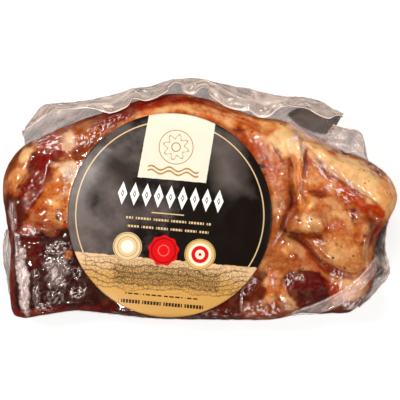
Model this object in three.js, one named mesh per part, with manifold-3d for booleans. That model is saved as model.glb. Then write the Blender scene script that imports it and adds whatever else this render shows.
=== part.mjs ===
// A guanciale, the dried cheek of a pig, shrunk tight into a clear vacuum bag with a round paper label.
// It lies on its back: +X is its right, +Y its arched edge and +Z its labelled front. Millimetres.
// The bag clings to the meat, so the two make one solid, and the bag's loose hem stands out round it.
import * as THREE from 'three';
import { mergeVertices } from 'three/addons/utils/BufferGeometryUtils.js';
import Module from 'manifold-3d';

const { clamp, lerp, smoothstep } = THREE.MathUtils;

// Driving dimensions
const LABEL_DIAMETER = 100;
const HALF_LENGTH = 97.8;
const CENTRE = [0, -5];
const WAIST_HEIGHT = 17; // where the pack is widest
const FRONT_HEIGHT = 33; // of the front at the middle, without its lobes
const END_FALL = 5; // how much lower the front is at the two ends
const EDGE_FALL = 3; // and at the arched and the cut edge
const HALF_DEPTH = 56;
const ROUNDNESS = 0.8; // 1 makes the rims elliptical, and less makes them squarer
const CUT_RIM = 4; // width of the front's rounded rim along the straight cut edge
const ARCH_RIM = 14; // and along the arched edge
const BACK_RIM_SHARE = 0.8; // the back's rim, as a share of the front's
const SIDE_DENT = 1.6;

// Label
const LABEL_CENTRE = [-14.8, -8];
const LABEL_THICKNESS = 0.6;
const LABEL_GAP = 0.5;
const LABEL_LIFT = 4; // of the bag that is stretched flat under the label
const LABEL_LIFT_ROLL = 20;
const LABEL_MARGIN = 7; // the lobes fade out over this width round the label

// Loose hem of the bag
const HEM_THICKNESS = 1;
const HEM_CLEARANCE = 1.6; // of a folded hem's free edge over the meat
const FOLD_LEAST_HEIGHT = 27;

// Mesh
const SPAN_STEPS = 4; // columns for each span of the outline
const FRONT_RINGS = [0.13, 0.26, 0.36, 0.42, 0.48, 0.54, 0.6, 0.66, 0.715, 0.77, 0.82, 0.865, 0.91, 0.955, 1];
const FRONT_ARC = [0.14, 0.3, 0.45, 0.6, 0.74, 0.87, 1]; // shares of the quarter turn, front to waist
const BACK_ARC = [0.24, 0.48, 0.7, 0.86, 1]; // and waist to back
const BACK_RINGS = [0.62, 0.25];
const CURVE_STEPS = 3; // between two points of a lobe's edge
const HEM_STEPS = 4; // between two stations of a hem
const HEM_ROWS = 6;
const LABEL_RINGS = [0, 0.3, 0.55, 0.75, 0.88, 0.94, 0.97, 1];
const LABEL_COLUMNS = 48;

// The pack's outline from the front, anticlockwise from the tip of the right end
const OUTLINE = [
  [97.8, 1.5], [92.6, 12.3], [81.3, 20.2], [64, 27.1], [44.3, 37.9], [27.1, 41.4], [9.9, 47.8], [-9.9, 52.2],
  [-29.6, 49.3], [-46.8, 43.3], [-61.6, 38.4], [-76.4, 32], [-87.7, 26.1], [-94.6, 18.2], [-97.8, 6.4],
  [-96.1, -10.3], [-94.1, -25.1], [-94.6, -42.4], [-93.1, -56], [-87.7, -58.9], [-76.4, -57.6],
  [-61.6, -55.7], [-44.3, -57.1], [-24.6, -59.4], [0, -60], [22.2, -60.1], [38.4, -59.6], [49.3, -56.9],
  [61.6, -57.1], [74.9, -55.7], [83.7, -46.8], [87.2, -36], [86.7, -25.1], [89.7, -16.3], [94.6, -8.9],
];

// The front's lobes of fat and lean: each rises from the level round it and rolls over at its edge
const LOBES = [
  { // slab of fat across the right end
    rise: 6, roll: 7,
    edge: [[50.7, 29.6], [61.6, 28.6], [73.9, 22.2], [84.7, 17.7], [94.6, 8.9], [98, 1], [95.1, -7.4],
      [90.6, -9.9], [82.8, -3.4], [73.9, 4.4], [64, 11.3], [56.7, 19.2]],
  },
  { // flap that hangs below the slab, with a free lower edge
    rise: 5.5, roll: 5,
    edge: [[54.2, 2.5], [64, 4.4], [76.4, -2], [87.7, -12.3], [87.7, -20.2], [83.7, -29.1], [79.8, -36.5],
      [73.9, -38.4], [65.5, -34.5], [59.1, -30], [54.2, -25.1], [49.3, -19.2], [42.4, -16.3], [44.3, -7.4]],
  },
  { // round knuckle of fat on that flap
    rise: 3, roll: 6,
    edge: [[43.3, -6.4], [51.7, -3.9], [60.1, -6.9], [63.1, -13.3], [58.1, -17.7], [49.3, -17.7],
      [42.4, -15.8]],
  },
  { // stringy ridge between the slab and the roll
    rise: 3.5, roll: 4,
    edge: [[40.9, 33], [49.3, 35], [52.2, 26.6], [52.2, 14.3], [54.2, -0.5], [51.2, -4.4], [46.8, -4.4],
      [46.3, 4.4], [45.3, 16.7], [40.4, 24.1]],
  },
  { // roll that follows the label's right side
    rise: 3, roll: 6,
    edge: [[22.2, 38.9], [30.5, 36.9], [36.9, 33], [42.4, 21.7], [44.3, 9.4], [44.3, -3], [41.4, -12.8],
      [37.9, -20.2], [31.5, -23.2], [35.5, -7.9], [33.5, 9.4], [27.1, 24.1]],
  },
  { // flesh below the flap
    rise: 1.8, roll: 6,
    edge: [[30.5, -31], [40.9, -19.2], [48.3, -21.2], [53.7, -28.6], [61.6, -35], [69, -40.9], [65, -49.8],
      [54.2, -55.2], [40.9, -49.8], [33.5, -34]],
  },
  { // tear-shaped bead of fat
    rise: 2.5, roll: 4,
    edge: [[31.5, -38.4], [35.5, -34.5], [39.9, -37.4], [40.4, -44.8], [37.4, -49.8], [32.5, -48.3]],
  },
  { // lower right corner
    rise: 2, roll: 5,
    edge: [[64, -46.8], [73.9, -40.9], [82.8, -38.9], [84.7, -44.8], [78.8, -52.2], [71.4, -55.7],
      [63.1, -55.2]],
  },
  { // fat of the upper left end
    rise: 3, roll: 6,
    edge: [[-95.6, 14.3], [-88.7, 24.6], [-81.8, 27.6], [-78.8, 22.7], [-80.8, 14.3], [-84.7, 6.9],
      [-89.7, -1.5], [-95.6, -3], [-96.6, 6.4]],
  },
  { // fat between that end and the label
    rise: 3.5, roll: 7,
    edge: [[-74.9, 16.7], [-68, 19.2], [-60.1, 16.7], [-61.1, 4.4], [-64, -7.9], [-66, -14.8], [-76.4, -15.3],
      [-85.7, -12.3], [-83.7, -4.4], [-77.8, 4.4]],
  },
  { // fat under the arch's left shoulder
    rise: 3, roll: 5,
    edge: [[-68, 33.5], [-61.6, 37.4], [-51.7, 39.4], [-47.8, 35], [-51.7, 26.6], [-59.1, 21.2], [-66, 24.1]],
  },
  { // block of dark lean at the lower left
    rise: 2.5, roll: 5,
    edge: [[-91.6, -18.2], [-78.8, -18.2], [-64, -16.7], [-60.1, -31], [-51.7, -43.8], [-39.4, -53.7],
      [-61.6, -54.2], [-78.8, -55.7], [-90.1, -56.7], [-92.6, -44.8], [-92.6, -27.6]],
  },
];

// Grooves, and with a negative depth ridges, along open paths on the front
const GROOVES = [
  { // below the band of lean that follows the arch
    width: 2.2, depth: 1.4,
    path: [[-56.7, 37.9], [-34.5, 45.3], [-9.9, 48.3], [12.3, 43.8], [30.5, 36.5]],
  },
  { // cleft between the roll and the stringy ridge
    width: 1.6, depth: 3,
    path: [[44.8, 19.2], [45.3, 6.9], [45.3, -4.4], [41.4, -15.3]],
  },
  { // crease under the knuckle
    width: 1.8, depth: 2.2,
    path: [[41.4, -16.3], [49.3, -18.7], [64, -18.7]],
  },
  { // double fold of the bag across the lower right corner
    width: 2, depth: -1.2,
    path: [[90.6, -26.1], [71.4, -41.9], [51.7, -52.2], [33, -58]],
  },
];

// Loose hems: root lies inside the pack, rim is the outermost line, and edge, where there is one,
// the free edge of a hem that folds back over the front
const HEMS = [
  { // along the arch
    root: [[-83.7, 25.1], [-69, 31], [-54.2, 37.9], [-39.4, 42.9], [-24.6, 46.8], [-9.9, 48.8], [4.9, 46.8],
      [19.7, 40.9], [34.5, 36.9], [49.3, 32], [61.6, 26.1]],
    rim: [[-87.7, 32], [-77.8, 45.3], [-61.6, 48.3], [-44.3, 51.2], [-25.6, 55.7], [-8.4, 59.6], [9.9, 57.6],
      [27.1, 53.2], [41.9, 49.8], [56.2, 49.8], [70.4, 41.4]],
    edge: [[-79.8, 34], [-69, 42.9], [-51.7, 43.3], [-40.4, 44.3], [-27.1, 49.3], [-13.8, 55.2], [3.9, 51.2],
      [19.7, 43.3], [35.5, 40.4], [50.7, 44.8], [66.5, 39.9]],
    rootHeight: 13, rimHeight: 22, wave: 1.6, waves: 9,
  },
  { // above the right end
    root: [[58.1, 27.6], [66.5, 23.6], [74.9, 20.2], [84.7, 15.8]],
    rim: [[65.5, 36], [72.4, 35], [80.8, 32.5], [83.3, 22.2]],
    rootHeight: 15, rimHeight: 23, wave: 2, waves: 3,
  },
  { // round the lower right corner
    root: [[88.7, -11.3], [85.7, -21.2], [84.2, -31], [81.8, -42.4], [74.9, -49.8]],
    rim: [[93.1, -10.8], [91.1, -22.7], [94.1, -36], [88.2, -44.8], [78.8, -53.7]],
    rootHeight: 15, rimHeight: 20, wave: 1.6, waves: 3,
  },
  { // along the left end
    root: [[-92.1, -14.3], [-91.6, -29.1], [-91.6, -45.8]],
    rim: [[-96.1, -15.3], [-97.5, -29.1], [-94.6, -47.3]],
    rootHeight: 15, rimHeight: 18, wave: 1, waves: 2,
  },
];

const wasm = await Module();
wasm.setup();

function curveThrough(points, closed = false) {
  const knots = points.map(([x, y]) => new THREE.Vector3(x, y, 0));
  return new THREE.CatmullRomCurve3(knots, closed, 'catmullrom', 0.5);
}

// Distance from a point to a polyline
function distanceToLine(x, y, line) {
  let nearest = Infinity;
  for (let i = 1; i < line.length; i++) {
    const [a, b] = [line[i - 1], line[i]];
    const [dx, dy] = [b.x - a.x, b.y - a.y];
    const along = clamp(((x - a.x) * dx + (y - a.y) * dy) / (dx * dx + dy * dy), 0, 1);
    nearest = Math.min(nearest, Math.hypot(x - a.x - along * dx, y - a.y - along * dy));
  }
  return nearest;
}

function isInside(x, y, loop) {
  let inside = false;
  for (let i = 1; i < loop.length; i++) {
    const [a, b] = [loop[i - 1], loop[i]];
    if (a.y > y !== b.y > y && x < a.x + ((y - a.y) / (b.y - a.y)) * (b.x - a.x)) inside = !inside;
  }
  return inside;
}

const outlineColumns = OUTLINE.length * SPAN_STEPS;
const outlineLoop = curveThrough(OUTLINE, true).getPoints(outlineColumns);
const lobes = LOBES.map((lobe) => ({
  ...lobe,
  loop: curveThrough(lobe.edge, true).getPoints(lobe.edge.length * CURVE_STEPS),
}));
const grooves = GROOVES.map((groove) => ({
  ...groove,
  line: curveThrough(groove.path).getPoints(groove.path.length * CURVE_STEPS),
}));

// Height of a lobe's rounded edge at a depth inside its outline, from 0 to 1
function rollOver(depth, roll) {
  return Math.sin(clamp(depth / roll, 0, 1) * Math.PI / 2);
}

// Height of the front, before its rim turns down
function frontHeight(x, y) {
  const fall = END_FALL * (x / HALF_LENGTH) ** 2 + EDGE_FALL * ((y - CENTRE[1]) / HALF_DEPTH) ** 2;
  const dome = FRONT_HEIGHT - fall;
  const fromLabel = Math.hypot(x - LABEL_CENTRE[0], y - LABEL_CENTRE[1]) - LABEL_DIAMETER / 2;
  const bed = LABEL_LIFT * rollOver(LABEL_MARGIN - fromLabel, LABEL_LIFT_ROLL);
  const bare = smoothstep(fromLabel, 0, LABEL_MARGIN);
  if (bare === 0) return dome + bed;
  let relief = 0;
  for (const { rise, roll, loop } of lobes) {
    if (isInside(x, y, loop)) relief += rise * rollOver(distanceToLine(x, y, loop), roll);
  }
  for (const { line, width, depth } of grooves) {
    relief -= depth * Math.exp(-((distanceToLine(x, y, line) / width) ** 2));
  }
  return dome + bed + bare * relief;
}

// Width of the front's rounded rim at a point of the outline
function rimWidth(point) {
  return lerp(CUT_RIM, ARCH_RIM, smoothstep(point.y, -56, 10));
}

// A slow dent in the sides, none at the waist and at the ends of the rims
function sideDent(point, height, share) {
  const ripple = Math.sin(point.x * 0.09 + height * 0.11) * Math.sin(point.y * 0.13 - height * 0.17 + 1);
  return SIDE_DENT * (0.5 + 0.5 * ripple) * Math.sin(share * Math.PI);
}

// The point at an inset from the outline towards the centre
function insetPoint(point, inset, z) {
  const reach = Math.hypot(point.x - CENTRE[0], point.y - CENTRE[1]);
  const share = 1 - inset / reach;
  return new THREE.Vector3(lerp(CENTRE[0], point.x, share), lerp(CENTRE[1], point.y, share), z);
}

// Half of a rounded rim: how far in and how far up it is at a share of its quarter turn
function rimArc(share) {
  const angle = (share * Math.PI) / 2;
  return { inward: 1 - Math.sin(angle) ** ROUNDNESS, upward: Math.cos(angle) ** ROUNDNESS };
}

// One row of the pack's skin, as one point for each column of the outline
function flatRow(rimShare, ringShare, heightAt) {
  return outlineLoop.slice(0, outlineColumns).map((point) => {
    const reach = Math.hypot(point.x - CENTRE[0], point.y - CENTRE[1]);
    const inset = reach - (reach - rimShare * rimWidth(point)) * ringShare;
    const place = insetPoint(point, inset, 0);
    return place.setZ(heightAt(place.x, place.y));
  });
}

function frontArcRow(share) {
  const { inward, upward } = rimArc(share);
  return outlineLoop.slice(0, outlineColumns).map((point) => {
    const place = insetPoint(point, rimWidth(point) * inward, 0);
    const z = lerp(WAIST_HEIGHT, frontHeight(place.x, place.y), upward);
    return insetPoint(point, rimWidth(point) * inward + sideDent(point, z, share), z);
  });
}

function backArcRow(share) {
  const { inward, upward } = rimArc(1 - share);
  return outlineLoop.slice(0, outlineColumns).map((point) => {
    const z = WAIST_HEIGHT * (1 - upward);
    return insetPoint(point, rimWidth(point) * BACK_RIM_SHARE * inward + sideDent(point, z, share), z);
  });
}

// Triangles over rows of points that wrap round, or that end at their first and last columns
function gridTriangles(rows, wraps, turned = false) {
  const columns = rows[0].length;
  const triangles = [];
  for (let i = 0; i + 1 < rows.length; i++) {
    for (let j = 0; j < (wraps ? columns : columns - 1); j++) {
      const k = (j + 1) % columns;
      const [a, b, c, d] = [rows[i][j], rows[i + 1][j], rows[i + 1][k], rows[i][k]];
      triangles.push(...(turned ? [a, c, b, a, d, c] : [a, b, c, a, c, d]));
    }
  }
  return triangles;
}

// A closed mesh of those triangles, without the ones that have no area
function closedGeometry(triangles) {
  const soup = new THREE.BufferGeometry().setFromPoints(triangles);
  const merged = mergeVertices(soup, 1e-4);
  const index = [];
  for (let i = 0; i < merged.index.count; i += 3) {
    const [a, b, c] = [0, 1, 2].map((corner) => merged.index.getX(i + corner));
    if (a !== b && b !== c && c !== a) index.push(a, b, c);
  }
  return merged.setIndex(index);
}

// The solid between two copies of a sheet of points, moved by two distances along its normals
function sheetSolid(rows, low, high, wraps) {
  const columns = rows[0].length;
  const last = rows.length - 1;
  const column = (j) => (wraps ? (j + columns) % columns : clamp(j, 0, columns - 1));
  const shifted = (distance) => rows.map((row, i) => row.map((point, j) => {
    const along = rows[Math.min(i + 1, last)][j].clone().sub(rows[Math.max(i - 1, 0)][j]);
    const across = row[column(j + 1)].clone().sub(row[column(j - 1)]);
    const normal = along.cross(across);
    if (normal.lengthSq() < 1e-9) normal.set(0, 0, 1);
    return point.clone().addScaledVector(normal.normalize(), distance);
  }));
  const [lower, upper] = [shifted(low), shifted(high)];
  const triangles = [...gridTriangles(upper, wraps), ...gridTriangles(lower, wraps, true)];
  triangles.push(...gridTriangles([upper[last], lower[last]], wraps));
  triangles.push(...gridTriangles([upper[0], lower[0]], wraps, true));
  if (!wraps) {
    for (const [j, turned] of [[0, false], [columns - 1, true]]) {
      const side = [upper, lower].map((face) => face.map((row) => row[j]));
      triangles.push(...gridTriangles(side, false, turned));
    }
  }
  return closedGeometry(triangles);
}

function toManifold(geometry) {
  const mesh = new wasm.Mesh({
    numProp: 3,
    vertProperties: geometry.getAttribute('position').array,
    triVerts: new Uint32Array(geometry.index.array),
  });
  return new wasm.Manifold(mesh);
}

function toGeometry(solid) {
  const { vertProperties, triVerts } = solid.getMesh();
  const geometry = new THREE.BufferGeometry();
  geometry.setAttribute('position', new THREE.BufferAttribute(vertProperties, 3));
  return geometry.setIndex(new THREE.BufferAttribute(triVerts, 1));
}

// The meat as the bag wraps it, without the hem
function lumpGeometry() {
  const middle = new THREE.Vector3(CENTRE[0], CENTRE[1], frontHeight(...CENTRE));
  const rows = [Array(outlineColumns).fill(middle)];
  rows.push(...FRONT_RINGS.map((ring) => flatRow(1, ring, frontHeight)));
  rows.push(...FRONT_ARC.map(frontArcRow));
  rows.push(...BACK_ARC.map(backArcRow));
  rows.push(...BACK_RINGS.map((ring) => flatRow(BACK_RIM_SHARE, ring, () => 0)));
  rows.push(Array(outlineColumns).fill(new THREE.Vector3(CENTRE[0], CENTRE[1], 0)));
  return closedGeometry(gridTriangles(rows, true));
}

// Height of the finished front at any point, with its rim, or 0 outside the outline
function skinHeight(x, y) {
  const [dx, dy] = [x - CENTRE[0], y - CENTRE[1]];
  const distance = Math.hypot(dx, dy);
  for (let i = 1; i < outlineLoop.length; i++) {
    const [a, b] = [outlineLoop[i - 1], outlineLoop[i]];
    const [ax, ay, bx, by] = [a.x - CENTRE[0], a.y - CENTRE[1], b.x - CENTRE[0], b.y - CENTRE[1]];
    const [sideA, sideB] = [dx * ay - dy * ax, dx * by - dy * bx];
    if (sideA > 0 || sideB < 0 || dx * (ax + bx) + dy * (ay + by) <= 0) continue;
    const crossing = a.clone().lerp(b, sideA / (sideA - sideB));
    const inset = Math.hypot(crossing.x - CENTRE[0], crossing.y - CENTRE[1]) - distance;
    if (inset < 0) return 0;
    const share = clamp(1 - inset / rimWidth(crossing), 0, 1);
    const upward = Math.sqrt(1 - share ** (2 / ROUNDNESS)) ** ROUNDNESS;
    return lerp(WAIST_HEIGHT, frontHeight(x, y), upward);
  }
  return frontHeight(x, y);
}

// A loose hem: it leaves the pack at its root, bulges out to its rim and may fold back to a free edge
function hemGeometry({ root, rim, edge, rootHeight, rimHeight, wave, waves }) {
  const stations = (root.length - 1) * HEM_STEPS;
  const [roots, rims] = [root, rim].map((line) => curveThrough(line).getPoints(stations));
  const edges = edge ? curveThrough(edge).getPoints(stations) : null;
  const rows = roots.map((start, i) => {
    const share = i / stations;
    const ripple = wave * Math.sin(share * waves * 2 * Math.PI) * Math.sin(share * Math.PI);
    const section = [
      new THREE.Vector3(start.x, start.y, rootHeight),
      start.clone().lerp(rims[i], 0.6).setZ(lerp(rootHeight, rimHeight, 0.35) + ripple * 0.5),
      rims[i].clone().setZ(rimHeight + ripple),
    ];
    if (edges) {
      const over = Math.max(FOLD_LEAST_HEIGHT, skinHeight(edges[i].x, edges[i].y) + HEM_CLEARANCE);
      section.push(rims[i].clone().lerp(edges[i], 0.4).setZ(lerp(rimHeight + ripple, over, 0.6)));
      section.push(edges[i].clone().setZ(over));
    }
    return new THREE.CatmullRomCurve3(section, false, 'catmullrom', 0.5).getPoints(HEM_ROWS);
  });
  return sheetSolid(rows, -HEM_THICKNESS / 2, HEM_THICKNESS / 2, false);
}

function packGeometry() {
  let pack = toManifold(lumpGeometry());
  for (const hem of HEMS) pack = pack.add(toManifold(hemGeometry(hem)));
  return toGeometry(pack);
}

// The label lies on the bag all over, and turns down a little with the rim of the cut edge
function labelGeometry() {
  const rows = LABEL_RINGS.map((ring) => Array.from({ length: LABEL_COLUMNS }, (_, column) => {
    const angle = (column / LABEL_COLUMNS) * 2 * Math.PI;
    const x = LABEL_CENTRE[0] + (LABEL_DIAMETER / 2) * ring * Math.cos(angle);
    const y = LABEL_CENTRE[1] + (LABEL_DIAMETER / 2) * ring * Math.sin(angle);
    return new THREE.Vector3(x, y, skinHeight(x, y));
  }));
  return sheetSolid(rows, LABEL_GAP, LABEL_GAP + LABEL_THICKNESS, true);
}

const wrappedMeat = new THREE.MeshStandardMaterial({ color: 0xa8532a, roughness: 0.2, metalness: 0 });
const labelPaper = new THREE.MeshStandardMaterial({ color: 0x2a2726, roughness: 0.45, metalness: 0 });

function namedMesh(name, geometry, material) {
  const mesh = new THREE.Mesh(geometry, material);
  mesh.name = name;
  return mesh;
}

const guanciale = new THREE.Group();
guanciale.add(namedMesh('vacuum_pack', packGeometry(), wrappedMeat));
guanciale.add(namedMesh('label', labelGeometry(), labelPaper));

export default guanciale;
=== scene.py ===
"""A vacuum-packed guanciale: meat, the clear film that clings to it, the film's loose hems and a paper label.

Lengths are millimetres in the part's own frame, and become metres where a mesh is made.
"""
import itertools
import math
from collections import namedtuple

import bpy
import numpy as np
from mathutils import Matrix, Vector
from mathutils.geometry import delaunay_2d_cdt
from mathutils.kdtree import KDTree


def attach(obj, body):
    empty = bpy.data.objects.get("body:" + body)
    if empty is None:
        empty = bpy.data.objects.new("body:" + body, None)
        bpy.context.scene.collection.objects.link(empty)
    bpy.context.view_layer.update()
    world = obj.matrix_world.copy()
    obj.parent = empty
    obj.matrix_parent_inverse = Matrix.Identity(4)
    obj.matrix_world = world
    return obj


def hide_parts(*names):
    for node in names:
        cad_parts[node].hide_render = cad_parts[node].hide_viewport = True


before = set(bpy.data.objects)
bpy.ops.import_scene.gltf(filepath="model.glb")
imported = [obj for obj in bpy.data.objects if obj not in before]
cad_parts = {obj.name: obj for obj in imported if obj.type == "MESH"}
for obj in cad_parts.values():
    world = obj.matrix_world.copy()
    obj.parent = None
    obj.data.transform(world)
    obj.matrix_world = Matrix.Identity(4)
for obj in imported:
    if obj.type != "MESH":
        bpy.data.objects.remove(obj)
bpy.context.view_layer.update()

MM = 0.001

# The pack's driving dimensions, as the solids have them
HALF_LENGTH = 97.8
CENTRE = np.array([0, -5])
WAIST_HEIGHT = 17
FRONT_HEIGHT = 33
END_FALL = 5
EDGE_FALL = 3
HALF_DEPTH = 56
ROUNDNESS = 0.8
CUT_RIM = 4
ARCH_RIM = 14
BACK_RIM_SHARE = 0.8
SIDE_DENT = 1.6
LABEL_RADIUS = 50
LABEL_CENTRE = np.array([-14.8, -8])
LABEL_LIFT = 4
LABEL_LIFT_ROLL = 20
LABEL_MARGIN = 7
HEM_CLEARANCE = 1.6
HEM_WIDTH = 30
FOLD_LEAST_HEIGHT = 27

# Fineness of the meshes
OUTLINE_STEPS = 20
FRONT_SPACING = 0.47
COVERED_SPACING = 1.6
BACK_SPACING = 1.5
FRONT_ROWS = 28
BACK_ROWS = 16
HEM_STEPS = 36
HEM_ROWS = 56
LABEL_RINGS = 70
LABEL_COLUMNS = 300

# Layers, as heights over the CAD skin
MEAT_DEPTH = 0.35
LEAST_GAP = 0.14
PRESSED_GAP = 0.05
UNDERSIDE_GAP = -0.01
LABEL_GAP = 0.45
LABEL_THICKNESS = 0.15
HEM_THICKNESS = 0.12

# Length over which creases and ridges fade out, and how many widths their sides reach
TAPER = 4
PROFILE_REACH = 2.6

# Share of the creases' depth that the tight film follows, and the bumps it has over peppercorns
FILM_CREASE_SHARE = 0.7
PEPPER_BUMP = 0.12
PEPPER_SPREAD = 0.9

# Peppercorn bits: sides, least and most half length, half thickness
PEPPER_SIDES = 8
PEPPER_SIZES = (0.45, 0.85)
PEPPER_HEIGHT = 0.3

# How far the label swells and how uneven its paper is
LABEL_SWELL = 0.28
LABEL_GRAIN = 0.012

# Margins between a rim and the patch of places inside it, and from the label's edge inwards the reach of
# the fine mesh and the start of the coarse one under the label
FRONT_PATCH_MARGIN = 0.3
BACK_PATCH_MARGIN = 0.6
FINE_REACH = 1.5
COVERED_START = 2

# Bounds, from none to all, of the front's relief beside the label and up the sides, and of its colours
LABEL_FADE = (-0.5, 3)
SIDE_FADE = (9, 18)
COLOUR_FADE = (11, 16)

# How far lobes, features, colours and glints wander: amounts, wavelengths and seeds
LOBE_WANDERS = [(0.7, 9, 11), (0.3, 3.5, 13)]
FEATURE_WANDERS = [(0.5, 5, 21)]
COLOUR_WANDERS = [(1.8, 7, 61), (0.9, 2.6, 63), (0.35, 1.2, 67)]
GLINT_WANDERS = [(0.5, 1.5, 69)]

# Unevenness of the meat, and the swelling and the grain of the film: heights, wavelengths and seeds
MEAT_NOISE = [(0.3, 7.5, 31), (0.16, 3.2, 32), (0.06, 1.4, 33)]
FILM_SWELL = [(0.26, 7.5, 31)]
FILM_GRAIN = [(0.035, 1.7, 43)]

# Fine folds of tight film: heights, wavelengths and seeds, their share over dark meat and over fat, and
# the lightness of the meat between which that share changes
FINE_FOLDS = [(0.16, 4.2, 41), (0.08, 1.9, 42)]
FINE_OVER_DARK = 0.6
FINE_OVER_FAT = 0.25
DARK_TO_FAT = (0.12, 0.45)

# Share of the meat's unevenness that is left under the label, and heights between which that share sets
# in. The same for the film's unevenness on the underside.
LABEL_CALM = 0.45
LABEL_LEVELS = (14, 22)
UNDERSIDE_CALM = 0.5
UNDERSIDE_LEVELS = (1, 6)

# A crinkled patch's edge, in the patch's own radii: where it ends at the latest, how ragged it is as amounts
# and wavelengths, and the levels between which the patch fades
CRINKLE_REACH = 1.5
CRINKLE_RAGGED = [(0.4, 5), (0.25, 1.9)]
CRINKLE_EDGE = (0.55, 1.1)

# Its bends, folds, small folds and pebbles, and how far the film sinks between them. The lengths are in the
# patch's own wavelength and the heights in its own height.
BEND_LENGTH = 3.5
FOLD_LENGTH, FOLD_HEIGHT, FOLD_SHARPNESS = 1.6, 0.9, 1.5
SMALL_FOLD_LENGTH, SMALL_FOLD_HEIGHT = 0.7, 0.35
PEBBLE_LENGTH, PEBBLE_HEIGHT = 1.2, 0.5
CRINKLE_DROP = 0.3

# Wavelength of the film's streaks outside the crinkled patches
LOOSE_FLOW_LENGTH = 2.2

# Double film: how soft its edge is, how thin the painted highlight along it is, and how the edge wavers
BAND_SOFTNESS = 0.35
BAND_EDGE_WIDTH = 0.4
BAND_WAVER = [(0.3, 6, 45)]

# Layers of the sides: how they waver, and the height and waver of their red streak
SIDE_WAVER = [(0.9, 11, 51), (0.5, 4, 52)]
STREAK_HEIGHT = 10
STREAK_WAVER = [(1.6, 26, 53)]

# Millimetres that a UV map of a sheet takes to run from 0 to 1
UV_SPAN = 100

# Colours of the fat, lean and film in daylight, as sRGB from 0 to 255
AMBER = (206, 118, 48)
HONEY = (255, 168, 74)
ORANGE = (240, 140, 74)
CARAMEL = (174, 80, 15)
GLAZE = (170, 74, 20)
SYRUP = (208, 114, 38)
TOFFEE = (210, 126, 58)
EMBER = (206, 76, 12)
YOLK = (220, 140, 30)
TAN = (208, 146, 84)
SAND = (236, 168, 96)
CREAM = (244, 199, 144)
WAX = (222, 174, 118)
DUN = (168, 126, 92)
BUTTER = (254, 224, 174)
# Cream-white of painted highlights on the fat
PALE = (246, 224, 196)
FLESH = (200, 110, 48)
RUSSET = (177, 100, 46)
ROSE = (194, 114, 74)
CRIMSON = (175, 45, 18)
RUST = (184, 70, 20)
MAROON = (174, 48, 12)
OXBLOOD = (128, 14, 3)
GARNET = (96, 8, 2)
UMBER = (138, 60, 14)
LEAN = (78, 11, 5)
BLACK_LEAN = (52, 8, 4)
PLUM = (66, 8, 9)
WINE = (104, 14, 10)
RIND = (176, 112, 58)
SIDE_FAT = (214, 160, 104)
FATTY_PALE = (248, 200, 138)
FLECK_PALE = (252, 206, 140)
MILK = (248, 222, 218)
HEM_GREY = (218, 205, 195)
# Hem colours: the dark one is partly painted shade, the pale one painted highlight
HEM_DARK_AND_SHADE = (104, 94, 88)
HEM_PALE_HIGHLIGHT = (255, 238, 228)
POCKET = (84, 70, 62)
PEPPER_BLACK = (14, 9, 8)
PEPPER_BROWN = (74, 44, 28)

# Tints that colours are multiplied by
NO_TINT = (255, 255, 254)
MOTTLE_TINT = (228, 214, 200)
WARM_TINT = (230, 196, 172)
STAIN_TINT = (240, 168, 118)
SPECK_TINT = (120, 62, 36)
STREAK_TINT = (222, 214, 212)
PALE_STREAK_TINT = (255, 254, 253)
PATCH_TINT = (236, 224, 224)

# Colours of the label's print, and of the painted sheen on it
CHARCOAL = (18, 10, 7)
# Painted sheen: reflections laid into the label's colour
PAINTED_DARK_SHEEN = (46, 36, 32)
PAINTED_SHEEN = (104, 92, 89)
GOLD = (216, 186, 140)
PANEL_GOLD = (206, 156, 84)
PANEL_SAND = (224, 186, 142)
DENSE_GOLD = (176, 136, 82)
BRONZE = (176, 126, 58)
PANEL_CREAM = (228, 223, 204)
ENGRAVING = (92, 66, 36)
BAR_BROWN = (40, 28, 18)
SEAL_CREAM = (222, 196, 150)
SEAL_BROWN = (150, 112, 60)
SEAL_TAN = (170, 130, 76)
SEAL_PALE = (246, 238, 220)
SEAL_RED = (214, 8, 16)
SEAL_DARK_RED = (150, 4, 10)
SEAL_LIGHT_RED = (240, 96, 88)
SEAL_GOLD = (214, 176, 110)
SEAL_BRONZE = (120, 84, 40)
SEAL_IVORY = (244, 232, 206)
WHITE = (250, 248, 244)

# Shares of red, green and blue that are left where the surface is steep, as painted shade
STEEP_SHADE_SHARES = (0.62, 0.42, 0.34)

# Shares that are left at the bottom of a crease, as painted shade with darker meat there too
CREASE_SHADE_SHARES = (0.42, 0.2, 0.16)

# The label's print, in millimetres from the label's middle: how soft its edges are, its turn in degrees,
# the thin ring, the top of the gold field, the rosette and the lozenges. The rows of dashes have their
# height, half width and pitch of the groups, and the rows of bars their height, half sizes and pitch.
PRINT_EDGE = 0.16
LABEL_TURN = -5
RING_RADIUS = 46.06
RING_WIDTH = 0.6
FIELD_TOP = -21.8
ROSETTE = (0.2, 33.5)
LOZENGE_PITCH = 5.9
LOZENGE_HEIGHT = 8.9
LOZENGE_HALF_SIZES = (2.35, 5.75)
WAVE_HEIGHTS = (22.6, 20.7)
DASH_ROWS = [(-2.7, 21, 8.7), (-6.8, 20, 7.1)]
BAR_ROWS = [(-39.7, 18, 0.35, 2.9), (-43.6, 21, 0.9, 1.5)]

# Floor and lights, with lengths in metres
FLOOR_SIZE = 3.0
FLOOR_DROP = 0.0004
FLOOR_GREY = (0.28, 0.28, 0.28, 1)
FLOOR_GLOW = 0.8
WARM_WHITE = (1, 0.965, 0.915)
WORLD_STRENGTH = 0.09
LIGHT_DISTANCE = 1.0

# Softboxes: name, azimuth from +X, angle off the upright, width and height, radiance
LIGHTS = [
    ("key", 158, 32, (0.2, 0.156), 60),
    ("front left", 238, 50, (0.18, 0.12), 56),
    ("right", -5, 56, (0.18, 0.12), 46),
    ("top", 85, 42, (0.24, 0.096), 54),
]

# The photo's frame, in metres: its width at the height of the pack's front, that height, and the frame's
# middle. The lens and the sensor are in millimetres.
FRAME_WIDTH = 0.19704
FRONT_PLANE = 0.025
FRAME_MIDDLE = (0, -0.0005)
LENS = 300
SENSOR = 36

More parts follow.
